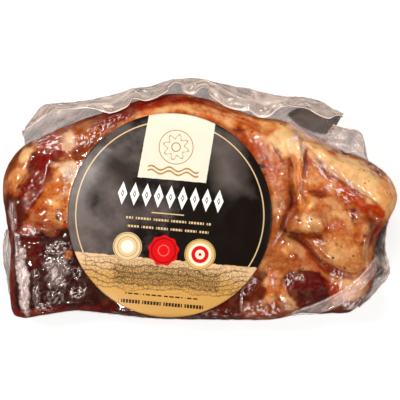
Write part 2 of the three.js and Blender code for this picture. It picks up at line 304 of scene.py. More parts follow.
Lobe = namedtuple("Lobe", "name rise roll edge")
Groove = namedtuple("Groove", "name width depth path")
Hem = namedtuple("Hem", "name root rim edge root_height rim_height wave waves shade")
Area = namedtuple("Area", "name colour soft strength edge")
Spot = namedtuple("Spot", "name colour soft strength centre radii lean", defaults=(0,))
Path = namedtuple("Path", "name width height path")
Mound = namedtuple("Mound", "name centre radii rise lean", defaults=(0,))
Line = namedtuple("Line", "name colour width strength path")
Stroke = namedtuple("Stroke", "name width strength path")
Band = namedtuple("Band", "name half_width height haze angle path")
Fold = namedtuple("Fold", "wavelength stretch rise paleness seed")
Seal = namedtuple("Seal", "centre radius colour teeth rings")
Glint = namedtuple("Glint", "name strength centre radii lean")
Crinkle = namedtuple(
    "Crinkle", "name centre radii angle wavelength stretch height haze veil lean", defaults=(0, 0)
)

# The pack's outline from the front, anticlockwise from the tip of the right end
OUTLINE = [
    (97.8, 1.5), (92.6, 12.3), (81.3, 20.2), (64, 27.1), (44.3, 37.9), (27.1, 41.4), (9.9, 47.8),
    (-9.9, 52.2), (-29.6, 49.3), (-46.8, 43.3), (-61.6, 38.4), (-76.4, 32), (-87.7, 26.1), (-94.6, 18.2),
    (-97.8, 6.4), (-96.1, -10.3), (-94.1, -25.1), (-94.6, -42.4), (-93.1, -56), (-87.7, -58.9),
    (-76.4, -57.6), (-61.6, -55.7), (-44.3, -57.1), (-24.6, -59.4), (0, -60), (22.2, -60.1), (38.4, -59.6),
    (49.3, -56.9), (61.6, -57.1), (74.9, -55.7), (83.7, -46.8), (87.2, -36), (86.7, -25.1), (89.7, -16.3),
    (94.6, -8.9),
]

# Lobes of the front, which rise from the level round them: name, rise, width of the rolled edge, outline
LOBES = [
    Lobe("slab of fat across the right end", 6, 7, [
        (50.7, 29.6), (61.6, 28.6), (73.9, 22.2), (84.7, 17.7), (94.6, 8.9), (98, 1), (95.1, -7.4),
        (90.6, -9.9), (82.8, -3.4), (73.9, 4.4), (64, 11.3), (56.7, 19.2)
    ]),
    Lobe("flap with a free lower edge", 5.5, 5, [
        (54.2, 2.5), (64, 4.4), (76.4, -2), (87.7, -12.3), (87.7, -20.2), (83.7, -29.1), (79.8, -36.5),
        (73.9, -38.4), (65.5, -34.5), (59.1, -30), (54.2, -25.1), (49.3, -19.2), (42.4, -16.3), (44.3, -7.4)
    ]),
    Lobe("knuckle of fat on the flap", 3, 6, [
        (43.3, -6.4), (51.7, -3.9), (60.1, -6.9), (63.1, -13.3), (58.1, -17.7), (49.3, -17.7), (42.4, -15.8)
    ]),
    Lobe("stringy ridge between the slab and the roll", 3.5, 4, [
        (40.9, 33), (49.3, 35), (52.2, 26.6), (52.2, 14.3), (54.2, -0.5), (51.2, -4.4), (46.8, -4.4),
        (46.3, 4.4), (45.3, 16.7), (40.4, 24.1)
    ]),
    Lobe("roll beside the label", 3, 6, [
        (22.2, 38.9), (30.5, 36.9), (36.9, 33), (42.4, 21.7), (44.3, 9.4), (44.3, -3), (41.4, -12.8),
        (37.9, -20.2), (31.5, -23.2), (35.5, -7.9), (33.5, 9.4), (27.1, 24.1)
    ]),
    Lobe("flesh below the flap", 1.8, 6, [
        (30.5, -31), (40.9, -19.2), (48.3, -21.2), (53.7, -28.6), (61.6, -35), (69, -40.9), (65, -49.8),
        (54.2, -55.2), (40.9, -49.8), (33.5, -34)
    ]),
    Lobe("tear-shaped bead", 2.5, 4, [
        (31.5, -38.4), (35.5, -34.5), (39.9, -37.4), (40.4, -44.8), (37.4, -49.8), (32.5, -48.3)
    ]),
    Lobe("lower right corner", 2, 5, [
        (64, -46.8), (73.9, -40.9), (82.8, -38.9), (84.7, -44.8), (78.8, -52.2), (71.4, -55.7), (63.1, -55.2)
    ]),
    Lobe("fat of the upper left end", 3, 6, [
        (-95.6, 14.3), (-88.7, 24.6), (-81.8, 27.6), (-78.8, 22.7), (-80.8, 14.3), (-84.7, 6.9),
        (-89.7, -1.5), (-95.6, -3), (-96.6, 6.4)
    ]),
    Lobe("fat between that end and the label", 3.5, 7, [
        (-74.9, 16.7), (-68, 19.2), (-60.1, 16.7), (-61.1, 4.4), (-64, -7.9), (-66, -14.8), (-76.4, -15.3),
        (-85.7, -12.3), (-83.7, -4.4), (-77.8, 4.4)
    ]),
    Lobe("fat under the arch's left shoulder", 3, 5, [
        (-68, 33.5), (-61.6, 37.4), (-51.7, 39.4), (-47.8, 35), (-51.7, 26.6), (-59.1, 21.2), (-66, 24.1)
    ]),
    Lobe("block of dark lean", 2.5, 5, [
        (-91.6, -18.2), (-78.8, -18.2), (-64, -16.7), (-60.1, -31), (-51.7, -43.8), (-39.4, -53.7),
        (-61.6, -54.2), (-78.8, -55.7), (-90.1, -56.7), (-92.6, -44.8), (-92.6, -27.6)
    ]),
]

# Grooves of the front, and with a negative depth ridges: name, width, depth, path
GROOVES = [
    Groove("below the band of lean that follows the arch", 2.2, 1.4, [
        (-56.7, 37.9), (-34.5, 45.3), (-9.9, 48.3), (12.3, 43.8), (30.5, 36.5)
    ]),
    Groove("cleft between the roll and the stringy ridge", 1.6, 3, [
        (44.8, 19.2), (45.3, 6.9), (45.3, -4.4), (41.4, -15.3)
    ]),
    Groove("crease under the knuckle", 1.8, 2.2, [(41.4, -16.3), (49.3, -18.7), (64, -18.7)]),
    Groove("double fold of the bag across the lower right corner", 2, -1.2, [
        (90.6, -26.1), (71.4, -41.9), (51.7, -52.2), (33, -58)
    ]),
]

# Loose hems of the bag: the root lies inside the pack, the rim is the outermost line, and the edge,
# where there is one, is the free edge of a hem that folds back over the front. The wave is how far the
# rim ripples, and the shade is how dark the hem is.
HEMS = [
    Hem(
        "along the arch",
        [(-86.4, 24.4), (-69, 31), (-54.2, 37.9), (-39.4, 42.9), (-24.6, 46.8), (-9.9, 48.8), (4.9, 46.8),
         (19.7, 40.9), (34.5, 36.9), (49.3, 32), (61.6, 26.1)],
        [(-87.7, 32), (-77.8, 45.3), (-61.6, 48.3), (-44.3, 51.2), (-25.6, 55.7), (-8.4, 59.6), (9.9, 57.6),
         (27.1, 53.2), (41.9, 49.8), (56.2, 49.8), (70.4, 41.4)],
        [(-86.2, 33.5), (-79.8, 38.2), (-75.6, 40.9), (-71.9, 44), (-68.2, 44), (-58.1, 44.5), (-51.7, 44.2),
         (-45.8, 42.4), (-43.1, 42.4), (-37.2, 44.8), (-35, 46.8), (-34, 49.1), (-31.8, 49.6), (-27.1, 48.5),
         (-22.2, 49.6), (-16.3, 53.1), (-15.3, 55.2), (-12.1, 57.3), (-9.4, 56.3), (-8.4, 53.1), (-5.3, 51.5),
         (-2.5, 51.8), (-0.6, 53.7), (1.8, 54.9), (3.9, 54.6), (4.9, 51.5), (7.9, 48.8), (12.8, 45.4),
         (20.8, 43.3), (24.5, 43.3), (27.5, 41.1), (30.5, 39.9), (34.3, 40.8), (38.6, 44.2), (43.4, 45.7),
         (49, 45.1), (53.3, 44.2), (57.5, 41.7), (63.1, 39.6), (66.7, 41.1), (70.1, 41.1)],
        root_height=13, rim_height=21.2, wave=1.4, waves=9, shade=0.1,
    ),
    Hem(
        "above the right end",
        [(58.1, 27.6), (66.5, 23.6), (74.9, 20.2), (84.7, 15.8)],
        [(65.5, 36), (72.4, 35), (79.6, 32.4), (81.4, 22.4)],
        edge=None, root_height=15, rim_height=23, wave=2, waves=3, shade=0,
    ),
    Hem(
        "round the lower right corner",
        [(88.7, -11.3), (85.7, -21.2), (84.2, -31), (81.8, -42.4), (74.9, -49.8)],
        [(93.1, -10.8), (91.1, -22.7), (94.1, -36), (88.2, -44.8), (78.8, -53.7)],
        edge=None, root_height=15, rim_height=20, wave=1.6, waves=3, shade=0.9,
    ),
    Hem(
        "along the left end",
        [(-92.1, -14.3), (-91.6, -29.1), (-91.6, -45.8)],
        [(-96.1, -15.3), (-97.5, -29.1), (-94.6, -47.3)],
        edge=None, root_height=15, rim_height=18, wave=1, waves=2, shade=0.4,
    ),
]

# Colour areas of the front, painted one over another: name, colour, soft edge, strength, outline
AREAS = [
    Area("arch band, orange below", ORANGE, 3, 1, [
        (-39.4, 42.9), (-24.6, 48.8), (-9.9, 50.7), (7.4, 48.8), (24.6, 41.9), (39.4, 36.9),
        (49.3, 29.1), (34.5, 19.2), (24.6, 29.1), (12.3, 36.5), (-9.9, 42.9), (-29.6, 37.9), (-44.3, 34)
    ]),
    Area("arch band, red along the rim", MAROON, 2.5, 1, [
        (-63.1, 36.9), (-49.3, 42.9), (-34.5, 48.3), (-17.2, 52.7), (-8.9, 53.7), (1, 51),
        (4, 48), (-7.4, 47.3), (-19.7, 45.8), (-34.5, 40.4), (-49.3, 34), (-57.1, 32)
    ]),
    Area("tan rim of the arch", SAND, 2, 0.75, [
        (-5, 55), (8, 52.5), (22, 47), (32, 43), (30, 40.5), (20, 44), (8, 49.5), (-5, 51.5)
    ]),
    Area("red at the left of the arch", OXBLOOD, 2.5, 0.8, [
        (-60.1, 37.9), (-49.3, 41.4), (-35.5, 44.8), (-32, 41.9), (-36.9, 37.9), (-47.3, 33),
        (-55.2, 32), (-60.1, 34)
    ]),
    Area("amber of the left end", CARAMEL, 4, 1, [
        (-99.5, 4.4), (-97.5, 13.3), (-92.6, 21.2), (-87.7, 27.1), (-78.8, 31), (-77.8, 24.1),
        (-81.8, 16.7), (-83.7, 8.4), (-88.7, 2.5), (-95.6, -0.5)
    ]),
    Area("cream of the left end", CREAM, 3.5, 0.95, [
        (-89.7, 23.2), (-86.7, 26.1), (-81.8, 28.1), (-80.3, 24.6), (-82.3, 19.2), (-85.7, 17.2),
        (-89.2, 18.2)
    ]),
    Area("tan of the left end", AMBER, 4, 0.6, [
        (-93.6, 13.3), (-88.7, 16.7), (-83.7, 15.3), (-84.7, 9.4), (-90.6, 5.4), (-95.1, 6.9)
    ]),
    Area("brown of the left end", UMBER, 2.5, 0.7, [
        (-95.6, 16.7), (-93.6, 21.2), (-90.1, 23.2), (-89.7, 17.7), (-91.6, 14.3), (-94.6, 13.3)
    ]),
    Area("rosy lean under the arch", CRIMSON, 3, 1, [
        (-80.8, 24.1), (-78.8, 29.1), (-73.9, 31.5), (-67, 33), (-66, 28.1), (-68, 23.6), (-74.9, 23.6)
    ]),
    Area("red streak", OXBLOOD, 2.5, 1, [
        (-81.8, 23.2), (-73.9, 24.1), (-66, 23.6), (-65.5, 19.7), (-70, 17.7), (-73.9, 17.2),
        (-72.4, 13.3), (-73.9, 8.4), (-77.3, 4.4), (-78.8, -1.5), (-82.8, -5.4), (-87.7, -3.9),
        (-89.7, 1.5), (-87.7, 6.4), (-84.7, 10.3), (-84.2, 16.3)
    ]),
    Area("amber between streak and label", AMBER, 3, 1, [
        (-71.9, 16.3), (-68, 19.2), (-61.1, 18.2), (-60.1, 9.4), (-62.6, -3), (-64, -11.3),
        (-70, -11.3), (-77.8, -8.4), (-79.8, -2.5), (-76.8, 3.4), (-71.9, 9.4)
    ]),
    Area("glaze below it", GLAZE, 4, 0.85, [
        (-85.2, -7.4), (-78.8, -3.4), (-70.9, -4.4), (-64, -6.4), (-63.1, -14.3), (-69, -15.8),
        (-76.8, -16.3), (-84.7, -14.3)
    ]),
    Area("shoulder under the arch", CARAMEL, 3, 1, [
        (-69, 33), (-62.1, 37.9), (-53.2, 37.9), (-47.3, 33), (-50.2, 26.1), (-57.1, 21.2),
        (-64, 19.2), (-67, 24.1)
    ]),
    Area("brown of the shoulder", UMBER, 3, 0.8, [
        (-60.1, 26.1), (-54.2, 28.1), (-50.2, 26.6), (-54.2, 22.7), (-59.1, 20.2), (-63.1, 20.2)
    ]),
    Area("cream of the shoulder", CREAM, 2, 0.95, [
        (-67, 32.5), (-64, 35), (-61.6, 32), (-62.1, 27.1), (-64, 23.2), (-66.5, 24.1), (-67.5, 28.1)
    ]),
    Area("dark left flank", LEAN, 3, 0.9, [
        (-97.5, -0.5), (-94.6, 3), (-88.7, 1.5), (-86.7, -3.4), (-85.7, -9.4), (-88.7, -15.3),
        (-92.6, -18.2), (-97.5, -18.2)
    ]),
    Area("block of lean", BLACK_LEAN, 2.5, 1, [
        (-91.6, -18.2), (-84.7, -15.3), (-76.4, -16.7), (-58, -14.8), (-56, -25.1), (-48, -39.9),
        (-34, -50), (-30, -57.6), (-69, -56.7), (-91.6, -58.6), (-93.6, -44.8), (-93.6, -27.6)
    ]),
    Area("red edge of the block", OXBLOOD, 2, 0.8, [
        (-96.6, -16.3), (-92.6, -16.3), (-91.1, -25.1), (-91.1, -39.9), (-90.1, -52.7), (-86.7, -58.6),
        (-93.6, -61.6), (-97.5, -49.8)
    ]),
    Area("red dome in the block", GARNET, 3, 0.85, [
        (-86.7, -18.2), (-81.8, -17.2), (-77.8, -21.2), (-77.8, -28.1), (-80.8, -34), (-84.7, -32),
        (-86.7, -25.1)
    ]),
    Area("red lower edge of the block", OXBLOOD, 2.5, 0.75, [
        (-91.6, -55.7), (-76.4, -54.2), (-61.6, -52.7), (-43.3, -53.7), (-43.3, -60.6), (-78.8, -61.6),
        (-91.6, -61.6)
    ]),
    Area("dark lean below the label", LEAN, 3, 0.9, [
        (-44.3, -46), (-24.6, -50), (0, -51), (17.2, -44), (22.7, -44), (22.7, -61.6),
        (-44.3, -60.6)
    ]),
    Area("amber of the roll", SYRUP, 3, 1, [
        (18.7, 36.9), (30.5, 36), (37.4, 30), (43.3, 21.7), (45.3, 9.4), (45.3, -3.4), (42.4, -14.3),
        (37.4, -23.2), (30.5, -25.1), (33.5, -7.9), (31.5, 9.4), (25.6, 24.1)
    ]),
    Area("red top of the roll", RUST, 3, 0.8, [
        (17.7, 34), (24.6, 32), (32.5, 25.1), (36.5, 16.7), (35.5, 10.3), (31.5, 11.3), (27.6, 20.2),
        (21.7, 28.1)
    ]),
    Area("tan foot of the roll", RUSSET, 3.5, 0.9, [
        (33.5, -0.5), (41.4, 1.5), (44.3, -3.4), (42.4, -13.3), (37.4, -22.2), (31.5, -24.1),
        (33.5, -12.8)
    ]),
    Area("tan under the hem", SAND, 3, 0.9, [
        (28.6, 40.9), (41.9, 42.9), (51.2, 37.9), (58.1, 31), (49.3, 31), (39.4, 34), (30.5, 34)
    ]),
    Area("cream heads of the ridges", BUTTER, 2.5, 0.95, [
        (34.5, 30), (40.4, 34.5), (49.3, 34), (52.2, 28.1), (52.2, 20.2), (48.3, 17.7), (44.3, 20.2),
        (40.4, 22.2), (36, 24.1)
    ]),
    Area("amber of the ridges", HONEY, 2.5, 1, [
        (43.3, 20.2), (49.3, 21.2), (52.7, 18.2), (54.2, 8.4), (55.2, -3.4), (51.2, -6.4),
        (47.3, -5.4), (45.8, 4.4), (44.3, 13.3)
    ]),
    Area("glaze low on the ridges", UMBER, 3, 0.45, [
        (47.3, 6.4), (51.2, 7.4), (53.2, 1.5), (52.2, -4.4), (48.3, -4.4)
    ]),
    Area("red wedge beside the slab", RUST, 2, 1, [
        (50.7, 27.1), (54.2, 25.1), (59.1, 19.2), (64, 12.3), (66, 7.4), (60.1, 9.4), (55.2, 8.4),
        (52.2, 15.3)
    ]),
    Area("glaze under the wedge", SYRUP, 3, 0.9, [
        (52.2, 15.3), (58.1, 13.3), (65, 8.4), (73.9, 3.4), (79.8, -2.5), (69, -3.4), (58.1, -3.4),
        (53.2, 1.5)
    ]),
    Area("red spot under the wedge", OXBLOOD, 2, 0.85, [
        (53.7, 4.4), (58.1, 5.4), (63.1, 3.4), (62.1, 1), (56.2, 0.5)
    ]),
    Area("flap", FLESH, 3, 1, [
        (53.2, -1.5), (64, -0.5), (76.8, -2.5), (88.7, -10.3), (90.6, -20.2), (85.7, -29.1),
        (79.8, -37.9), (73.9, -39.4), (65.5, -35.5), (59.1, -31), (54.2, -26.1), (49.3, -20.2),
        (59.1, -18.2), (64, -13.3)
    ]),
    Area("tan of the flap", TAN, 5, 0.75, [
        (58.1, -20.2), (71.4, -18.2), (81.8, -23.2), (81.8, -31), (74.9, -36.9), (67, -34),
        (60.1, -28.1)
    ]),
    Area("rosy top of the flap", ROSE, 5, 0.6, [
        (60.1, -3.4), (71.4, -2.5), (78.8, -6.4), (82.8, -14.3), (78.8, -20.2), (70, -16.3),
        (63.1, -11.3)
    ]),
    Area("purple right of the flap", PLUM, 3, 0.75, [
        (80.8, -6.4), (86.7, -8.4), (90.6, -11.3), (90.6, -21.2), (85.7, -25.1), (83.3, -20.2),
        (81.8, -13.3)
    ]),
    # Painted highlight: the paler band where the slab's flank catches the light
    Area("bright flank of the slab", BUTTER, 3, 0.8, [
        (57, 24.5), (64, 18), (72, 11.5), (80, 6.5), (88.5, 0.5), (87.5, -3), (79.5, 2.5), (71, 7.4),
        (63.5, 12.8), (57.5, 19)
    ]),
    Area("red right edge of the flap", MAROON, 2, 0.95, [
        (85.7, -12.3), (90.6, -10.3), (90.6, -18.2), (86.7, -24.1), (84.2, -22.2), (85.2, -17.2)
    ]),
    Area("slab of fat", CREAM, 2.5, 1, [
        (50.7, 30.5), (61.6, 29.6), (73.9, 24.1), (85.7, 19.2), (95.6, 10.3), (99.5, 1), (96.6, -7.4),
        (90.6, -10.3), (81.8, -3.4), (72.9, 3.9), (65, 10.3), (58.1, 17.2), (53.2, 23.2)
    ]),
    Area("tan root of the slab", SAND, 4, 0.8, [
        (50.7, 29.6), (62.1, 29.1), (69, 25.1), (64, 20.2), (57.1, 22.2), (52.2, 25.1)
    ]),
    Area("amber end of the slab", HONEY, 5, 0.6, [
        (86.7, 15.3), (95.6, 9.4), (99, 1), (96.1, -6.4), (90.6, -7.4), (86.7, -0.5), (87.7, 8.4)
    ]),
    Area("brown upper edge of the slab", UMBER, 2, 0.75, [
        (65, 26.1), (73.9, 24.1), (81.8, 20.7), (90.6, 14.3), (88.7, 12.3), (80.8, 17.7), (72.9, 21.7),
        (66, 24.1)
    ]),
    Area("orange streak under the slab", EMBER, 2, 1, [
        (64, 11.3), (70, 7.9), (78.8, 2.5), (87.7, -3.4), (92.1, -8.4), (89.2, -11.3), (81.8, -6.4),
        (73.9, 0), (68, 4.4)
    ]),
    Area("red foot of that streak", MAROON, 2.5, 0.6, [
        (77.8, -1.5), (82.8, -3.4), (88.7, -8.4), (87.7, -11.8), (81.8, -8.4), (77.8, -4.4)
    ]),
    Area("knuckle", TOFFEE, 2.5, 1, [
        (42.9, -7.4), (49.3, -4.9), (56.2, -5.9), (60.1, -9.4), (60.6, -16.3), (55.2, -18.2),
        (48.3, -17.7), (42.9, -15.3)
    ]),
    Area("cream of the knuckle", WAX, 4, 0.75, [
        (50.2, -6.9), (55.2, -6.4), (59.1, -10.3), (58.1, -15.3), (52.2, -15.3), (49.8, -11.3)
    ]),
    Area("flesh under the flap", RUSSET, 3, 1, [
        (30.5, -25.1), (37.4, -20.2), (41.4, -17.2), (49.3, -20.2), (55.2, -27.1), (64, -36),
        (74.9, -40.9), (84.7, -41.9), (73.9, -49.8), (61.6, -49.8), (49.3, -49.8), (30.5, -44.8)
    ]),
    Area("rosy part of that flesh", ROSE, 4, 0.6, [
        (49.3, -23.2), (55.2, -29.1), (64, -35), (58.1, -37.9), (49.3, -33), (44.3, -28.1)
    ]),
    Area("rust stripe along the flap's edge", SYRUP, 2.5, 0.4, [
        (51.2, -22.2), (55.2, -27.1), (61.1, -33), (67, -36.9), (62.1, -37.9), (55.2, -33),
        (50.2, -26.1)
    ]),
    Area("brown between label and bead", LEAN, 3, 0.8, [
        (18.7, -44.8), (25.6, -38.9), (31.5, -34), (33.5, -39.9), (30.5, -49.8), (23.6, -55.7),
        (17.7, -55.7)
    ]),
    Area("bead", TOFFEE, 1.8, 1, [
        (32.5, -36.9), (36, -35), (39.9, -36.9), (40.9, -44.8), (37.4, -49.8), (33.5, -48.8),
        (31.5, -42.9)
    ]),
    Area("purple lean", WINE, 2, 1, [
        (41.4, -37.9), (47.3, -35), (55.2, -36), (62.1, -39.9), (67, -44.8), (66, -50.7),
        (56.2, -55.7), (49.3, -56.7), (46.3, -50.7), (43.3, -46.8), (40.4, -41.9)
    ]),
    Area("black of the purple lean", BLACK_LEAN, 4, 0.6, [
        (47.3, -44.8), (57.1, -43.8), (64, -46.8), (58.1, -53.7), (50.2, -55.7), (48.3, -49.8)
    ]),
    Area("pale patch", DUN, 2, 0.9, [
        (42.4, -46.8), (45.3, -48.8), (47.8, -53.7), (48.8, -57.6), (42.4, -58.6), (39.4, -54.7),
        (39.9, -49.8)
    ]),
    Area("foot at the lower edge", UMBER, 3, 0.9, [
        (21.7, -50.7), (30.5, -49.8), (39.4, -50.7), (41.4, -55.7), (38.4, -60.6), (23.6, -60.6)
    ]),
    Area("orange right of the lean", EMBER, 3, 0.45, [
        (62.1, -39.9), (69, -41.9), (71.9, -47.8), (66, -49.8), (63.1, -45.8)
    ]),
    Area("cream over the corner", WAX, 4, 0.6, [
        (67, -36), (73.9, -38.9), (81.8, -39.9), (84.7, -47.8), (74.9, -49.8), (69, -45.8)
    ]),
    Area("plum of the corner", PLUM, 3, 0.7, [
        (55.2, -53.7), (66.5, -50.7), (76.8, -48.8), (81.8, -49.8), (77.8, -57.6), (64, -59.6),
        (55.2, -58.6)
    ]),
]

# Small spots of colour: name, colour, soft edge, strength, centre, radii
SPOTS = [
    Spot("amber dot of the flap", YOLK, 1.2, 0.9, (75.9, -14.3), (1.7, 1.7)),
    Spot("red dot", OXBLOOD, 1.2, 0.9, (80.3, -17.2), (1.3, 1.0)),
    Spot("red dot", OXBLOOD, 1.2, 0.9, (79.8, -21.7), (1.6, 1.2)),
    Spot("red dot", OXBLOOD, 1.2, 0.7, (76.8, -20.7), (1.0, 0.7)),
    # Painted shade in the flap's hollow
    Spot("hole in the flap", OXBLOOD, 1.6, 1, (75.4, -7.8), (2.0, 3.4)),
    Spot("dark bit on the slab", BLACK_LEAN, 1.2, 1, (71.9, 23.6), (2.5, 1.2)),
    Spot("orange bit on the slab", EMBER, 1.6, 0.8, (64.5, 23.2), (2.0, 1.2)),
    Spot("rust spot on the arch", OXBLOOD, 2, 0.85, (19.2, 34), (2.5, 2.0)),
    Spot("brown spot on the arch", UMBER, 2, 0.9, (39.9, 37.4), (3.0, 1.5)),
    Spot("orange bead under the crease", GLAZE, 1.2, 0.9, (46.3, -28.6), (2.0, 1.7)),
    Spot("dark dot beside the label", BLACK_LEAN, 1.2, 1, (30.5, 16.7), (1.8, 1.2)),
    Spot("pale fat of the left", SAND, 5, 0.7, (-71, -1.5), (3, 2.6)),
    Spot("pale fat above the block", SAND, 5, 0.6, (-70, -9.5), (5, 2.4)),
    Spot("pale fat of the left end", SAND, 5, 0.6, (-90.5, 9), (2, 4)),
    Spot("pale fat of the flap", WAX, 6, 0.7, (69, -27), (5.5, 4)),
    Spot("pale fat at the flap's top", WAX, 6, 0.6, (66, -8), (4, 3)),
    Spot("pale flesh under the flap", SAND, 6, 0.6, (43, -24), (3.4, 2.6)),
    # Painted highlights: white glints on the film over the fat left of the label
    Spot("white of the streak", PALE, 2, 0.95, (-64, 14), (4.2, 3.6)),
    Spot("white below it", PALE, 2, 0.8, (-61, 9.5), (2.6, 2.4)),
    Spot("white of the streak's head", PALE, 2, 0.8, (-70.9, 17.2), (2.6, 1.1)),
    Spot("amber bead at the label's edge", TOFFEE, 1.4, 0.75, (-64.3, -28.6), (1.5, 1.9)),
    Spot("orange bit left of the block", EMBER, 1.4, 0.7, (-84, -15.5), (1.6, 1.2)),
    Spot("dark dots of the left fat", BLACK_LEAN, 1.2, 0.9, (-69.5, -8.9), (1.7, 1.1)),
]

# Thin creases of the meat: name, width, depth, path
CREASES = [
    Path("under the knuckle", 0.56, 1.2, [
        (40.9, -16.3), (45.3, -17.7), (49.3, -18.2), (55.2, -18.2), (64, -19.2)
    ]),
    Path("along the flap's free edge", 0.62, 1.4, [
        (41.4, -16.7), (49.3, -19.7), (53.2, -23.6), (55.7, -27.1), (59.1, -30.5), (65.5, -34.5),
        (71.4, -36.9), (77.3, -38.4)
    ]),
    Path("between the roll and the ridges", 0.56, 1.1, [
        (44.3, 20.2), (45.3, 9.4), (45.8, -0.5), (44.8, -6.4)
    ]),
    Path("left edge of the slab", 0.5, 0.87, [(50.7, 30), (51.2, 24.1), (52.2, 16.7), (52.7, 8.4)]),
    Path("lower edge of the slab", 0.56, 0.87, [
        (52.2, 26.1), (58.1, 19.2), (64, 12.3), (71.4, 7.4), (79.8, 2.5), (88.7, -3.9)
    ]),
    Path("above the block of lean", 0.56, 0.74, [(-86.7, -16.7), (-76.4, -16.7), (-64, -14.8)]),
    Path("beside the left end's fat", 0.56, 0.62, [
        (-79.3, 26.1), (-81.8, 19.2), (-84.7, 11.3), (-92.6, 1.5)
    ]),
    Path("between the shoulder and the streak", 0.5, 0.62, [
        (-72.9, 18.2), (-66, 19.7), (-57.1, 20.2), (-50.2, 24.1)
    ]),
    Path("head of the roll", 0.5, 0.62, [(33.5, 31), (38.4, 22.2), (43.3, 15.3)]),
    Path("first line of the arch", 0.43, 0.43, [
        (-34.5, 45.3), (-22.2, 49.3), (-8.9, 50.7), (6.9, 47.3), (20.7, 41.9)
    ]),
    Path("second line of the arch", 0.43, 0.31, [
        (-15.8, 48.3), (-2.5, 48.8), (12.3, 43.8), (27.1, 36.9)
    ]),
    Path("below the flap", 0.43, 0.5, [(56.2, -31), (63.1, -36.5), (71.4, -40.9)]),
    Path("right edge of the flap", 0.5, 0.62, [(90.6, -8.4), (88.2, -13.3), (84.7, -20.2), (82.8, -27.1)]),
    Path("round the purple lean", 0.5, 0.43, [
        (40.9, -45.8), (40.9, -39.4), (46.8, -35.5), (56.2, -36.5), (63.1, -40.9)
    ]),
]

# Strings and folds that stand out: name, width, height, path
RIDGES = [
    Path("string beside the cleft", 0.8, 0.7, [(44, 29), (46.8, 20), (47, 9), (48.2, -5)]),
    Path("middle string", 0.8, 0.7, [(48, 31), (49.6, 21), (49.3, 8), (50.4, -4)]),
    Path("bright edge of the head", 0.6, 0.8, [(51, 31), (51.2, 23), (51.4, 14)]),
    Path("string beside the slab", 0.8, 0.6, [(52.8, 15), (53.2, 6), (54.7, -2)]),
    Path("first wrinkle of the slab's foot", 0.7, 0.8, [(53.7, 24.1), (58.6, 16.7), (63.1, 9.4)]),
    Path("second wrinkle of the slab's foot", 0.7, 0.7, [(55.7, 25.1), (60.6, 18.7), (65.5, 11.8)]),
    Path("fold across the roll's foot", 0.6, 0.5, [(43.3, -8.9), (40.9, -14.3), (37.4, -20.7)]),
    Path("fold at the lower edge", 0.6, 0.8, [
        (20.2, -43.8), (21.2, -49.8), (20.7, -55.7), (23.6, -59.6)
    ]),
    Path("crest of the slab", 3.6, 1.2, [(56, 25.5), (61, 19), (67.5, 13), (75, 8), (83, 3.2), (90, -2.5)]),
    Path("flattening of the stringy ridge", 4, -1.5, [(48.5, 24), (49, 12), (50, 0), (50, -5)]),
    Path("fold along the left flank", 1.2, 0.8, [(-94.1, -3), (-92.6, -10.3), (-90.6, -18.2)]),
    Path("fold down the block of lean", 2.2, 1.6, [
        (-87.7, -21.7), (-88.7, -31), (-87.7, -42.4), (-86.7, -55.7)
    ]),
]

# Thin lines of colour, some of them painted shade and one a painted highlight: name, colour, width, strength,
# path
LINES = [
    # Painted shade in the cleft, between the strings, at the wedge's edge and under the flap and the knuckle
    Line("dark cleft beside the roll", OXBLOOD, 0.5, 0.8, [(44.6, 10), (45, 3), (45.3, -6)]),
    Line("red line between two strings", OXBLOOD, 0.5, 0.6, [(47.8, 22), (48.2, 10), (49, -1)]),
    Line("dark line between two strings", UMBER, 0.5, 0.7, [(51.6, 15), (51.2, 5), (52, -3)]),
    # Painted highlight along the head's edge
    Line("bright edge of the head", BUTTER, 0.7, 0.9, [(51, 30), (51.2, 22), (51.2, 18)]),
    Line("dark edge of the wedge", OXBLOOD, 0.7, 0.9, [(52.2, 28), (52.4, 20), (52.7, 12)]),
    Line("dark line under the flap's free edge", OXBLOOD, 1, 0.9, [
        (41, -17.4), (48, -20.2), (52, -24.4), (55, -28.5), (58.6, -32.2), (64.8, -36), (71, -38.2),
        (77, -39.4)
    ]),
    Line("dark line under the knuckle", UMBER, 0.8, 0.9, [
        (42, -17.6), (49, -18.9), (56, -18.8), (63, -19.6)
    ]),
    Line("red line along the slab's upper edge", OXBLOOD, 0.7, 0.7, [(80, 18.5), (86, 14.6), (92, 9)]),
    Line("red line along the arch", OXBLOOD, 0.8, 0.6, [
        (-52, 38.5), (-36, 44.5), (-18, 48.8), (0, 47.5), (16, 42)
    ]),
    Line("second red line along the arch", RUST, 0.7, 0.7, [(-6, 45), (8, 42.5), (20, 38), (30, 32.5)]),
    Line("brown rim of the left end", UMBER, 1.2, 0.8, [(-95, 12), (-92, 19), (-87, 25), (-80, 29)]),
]

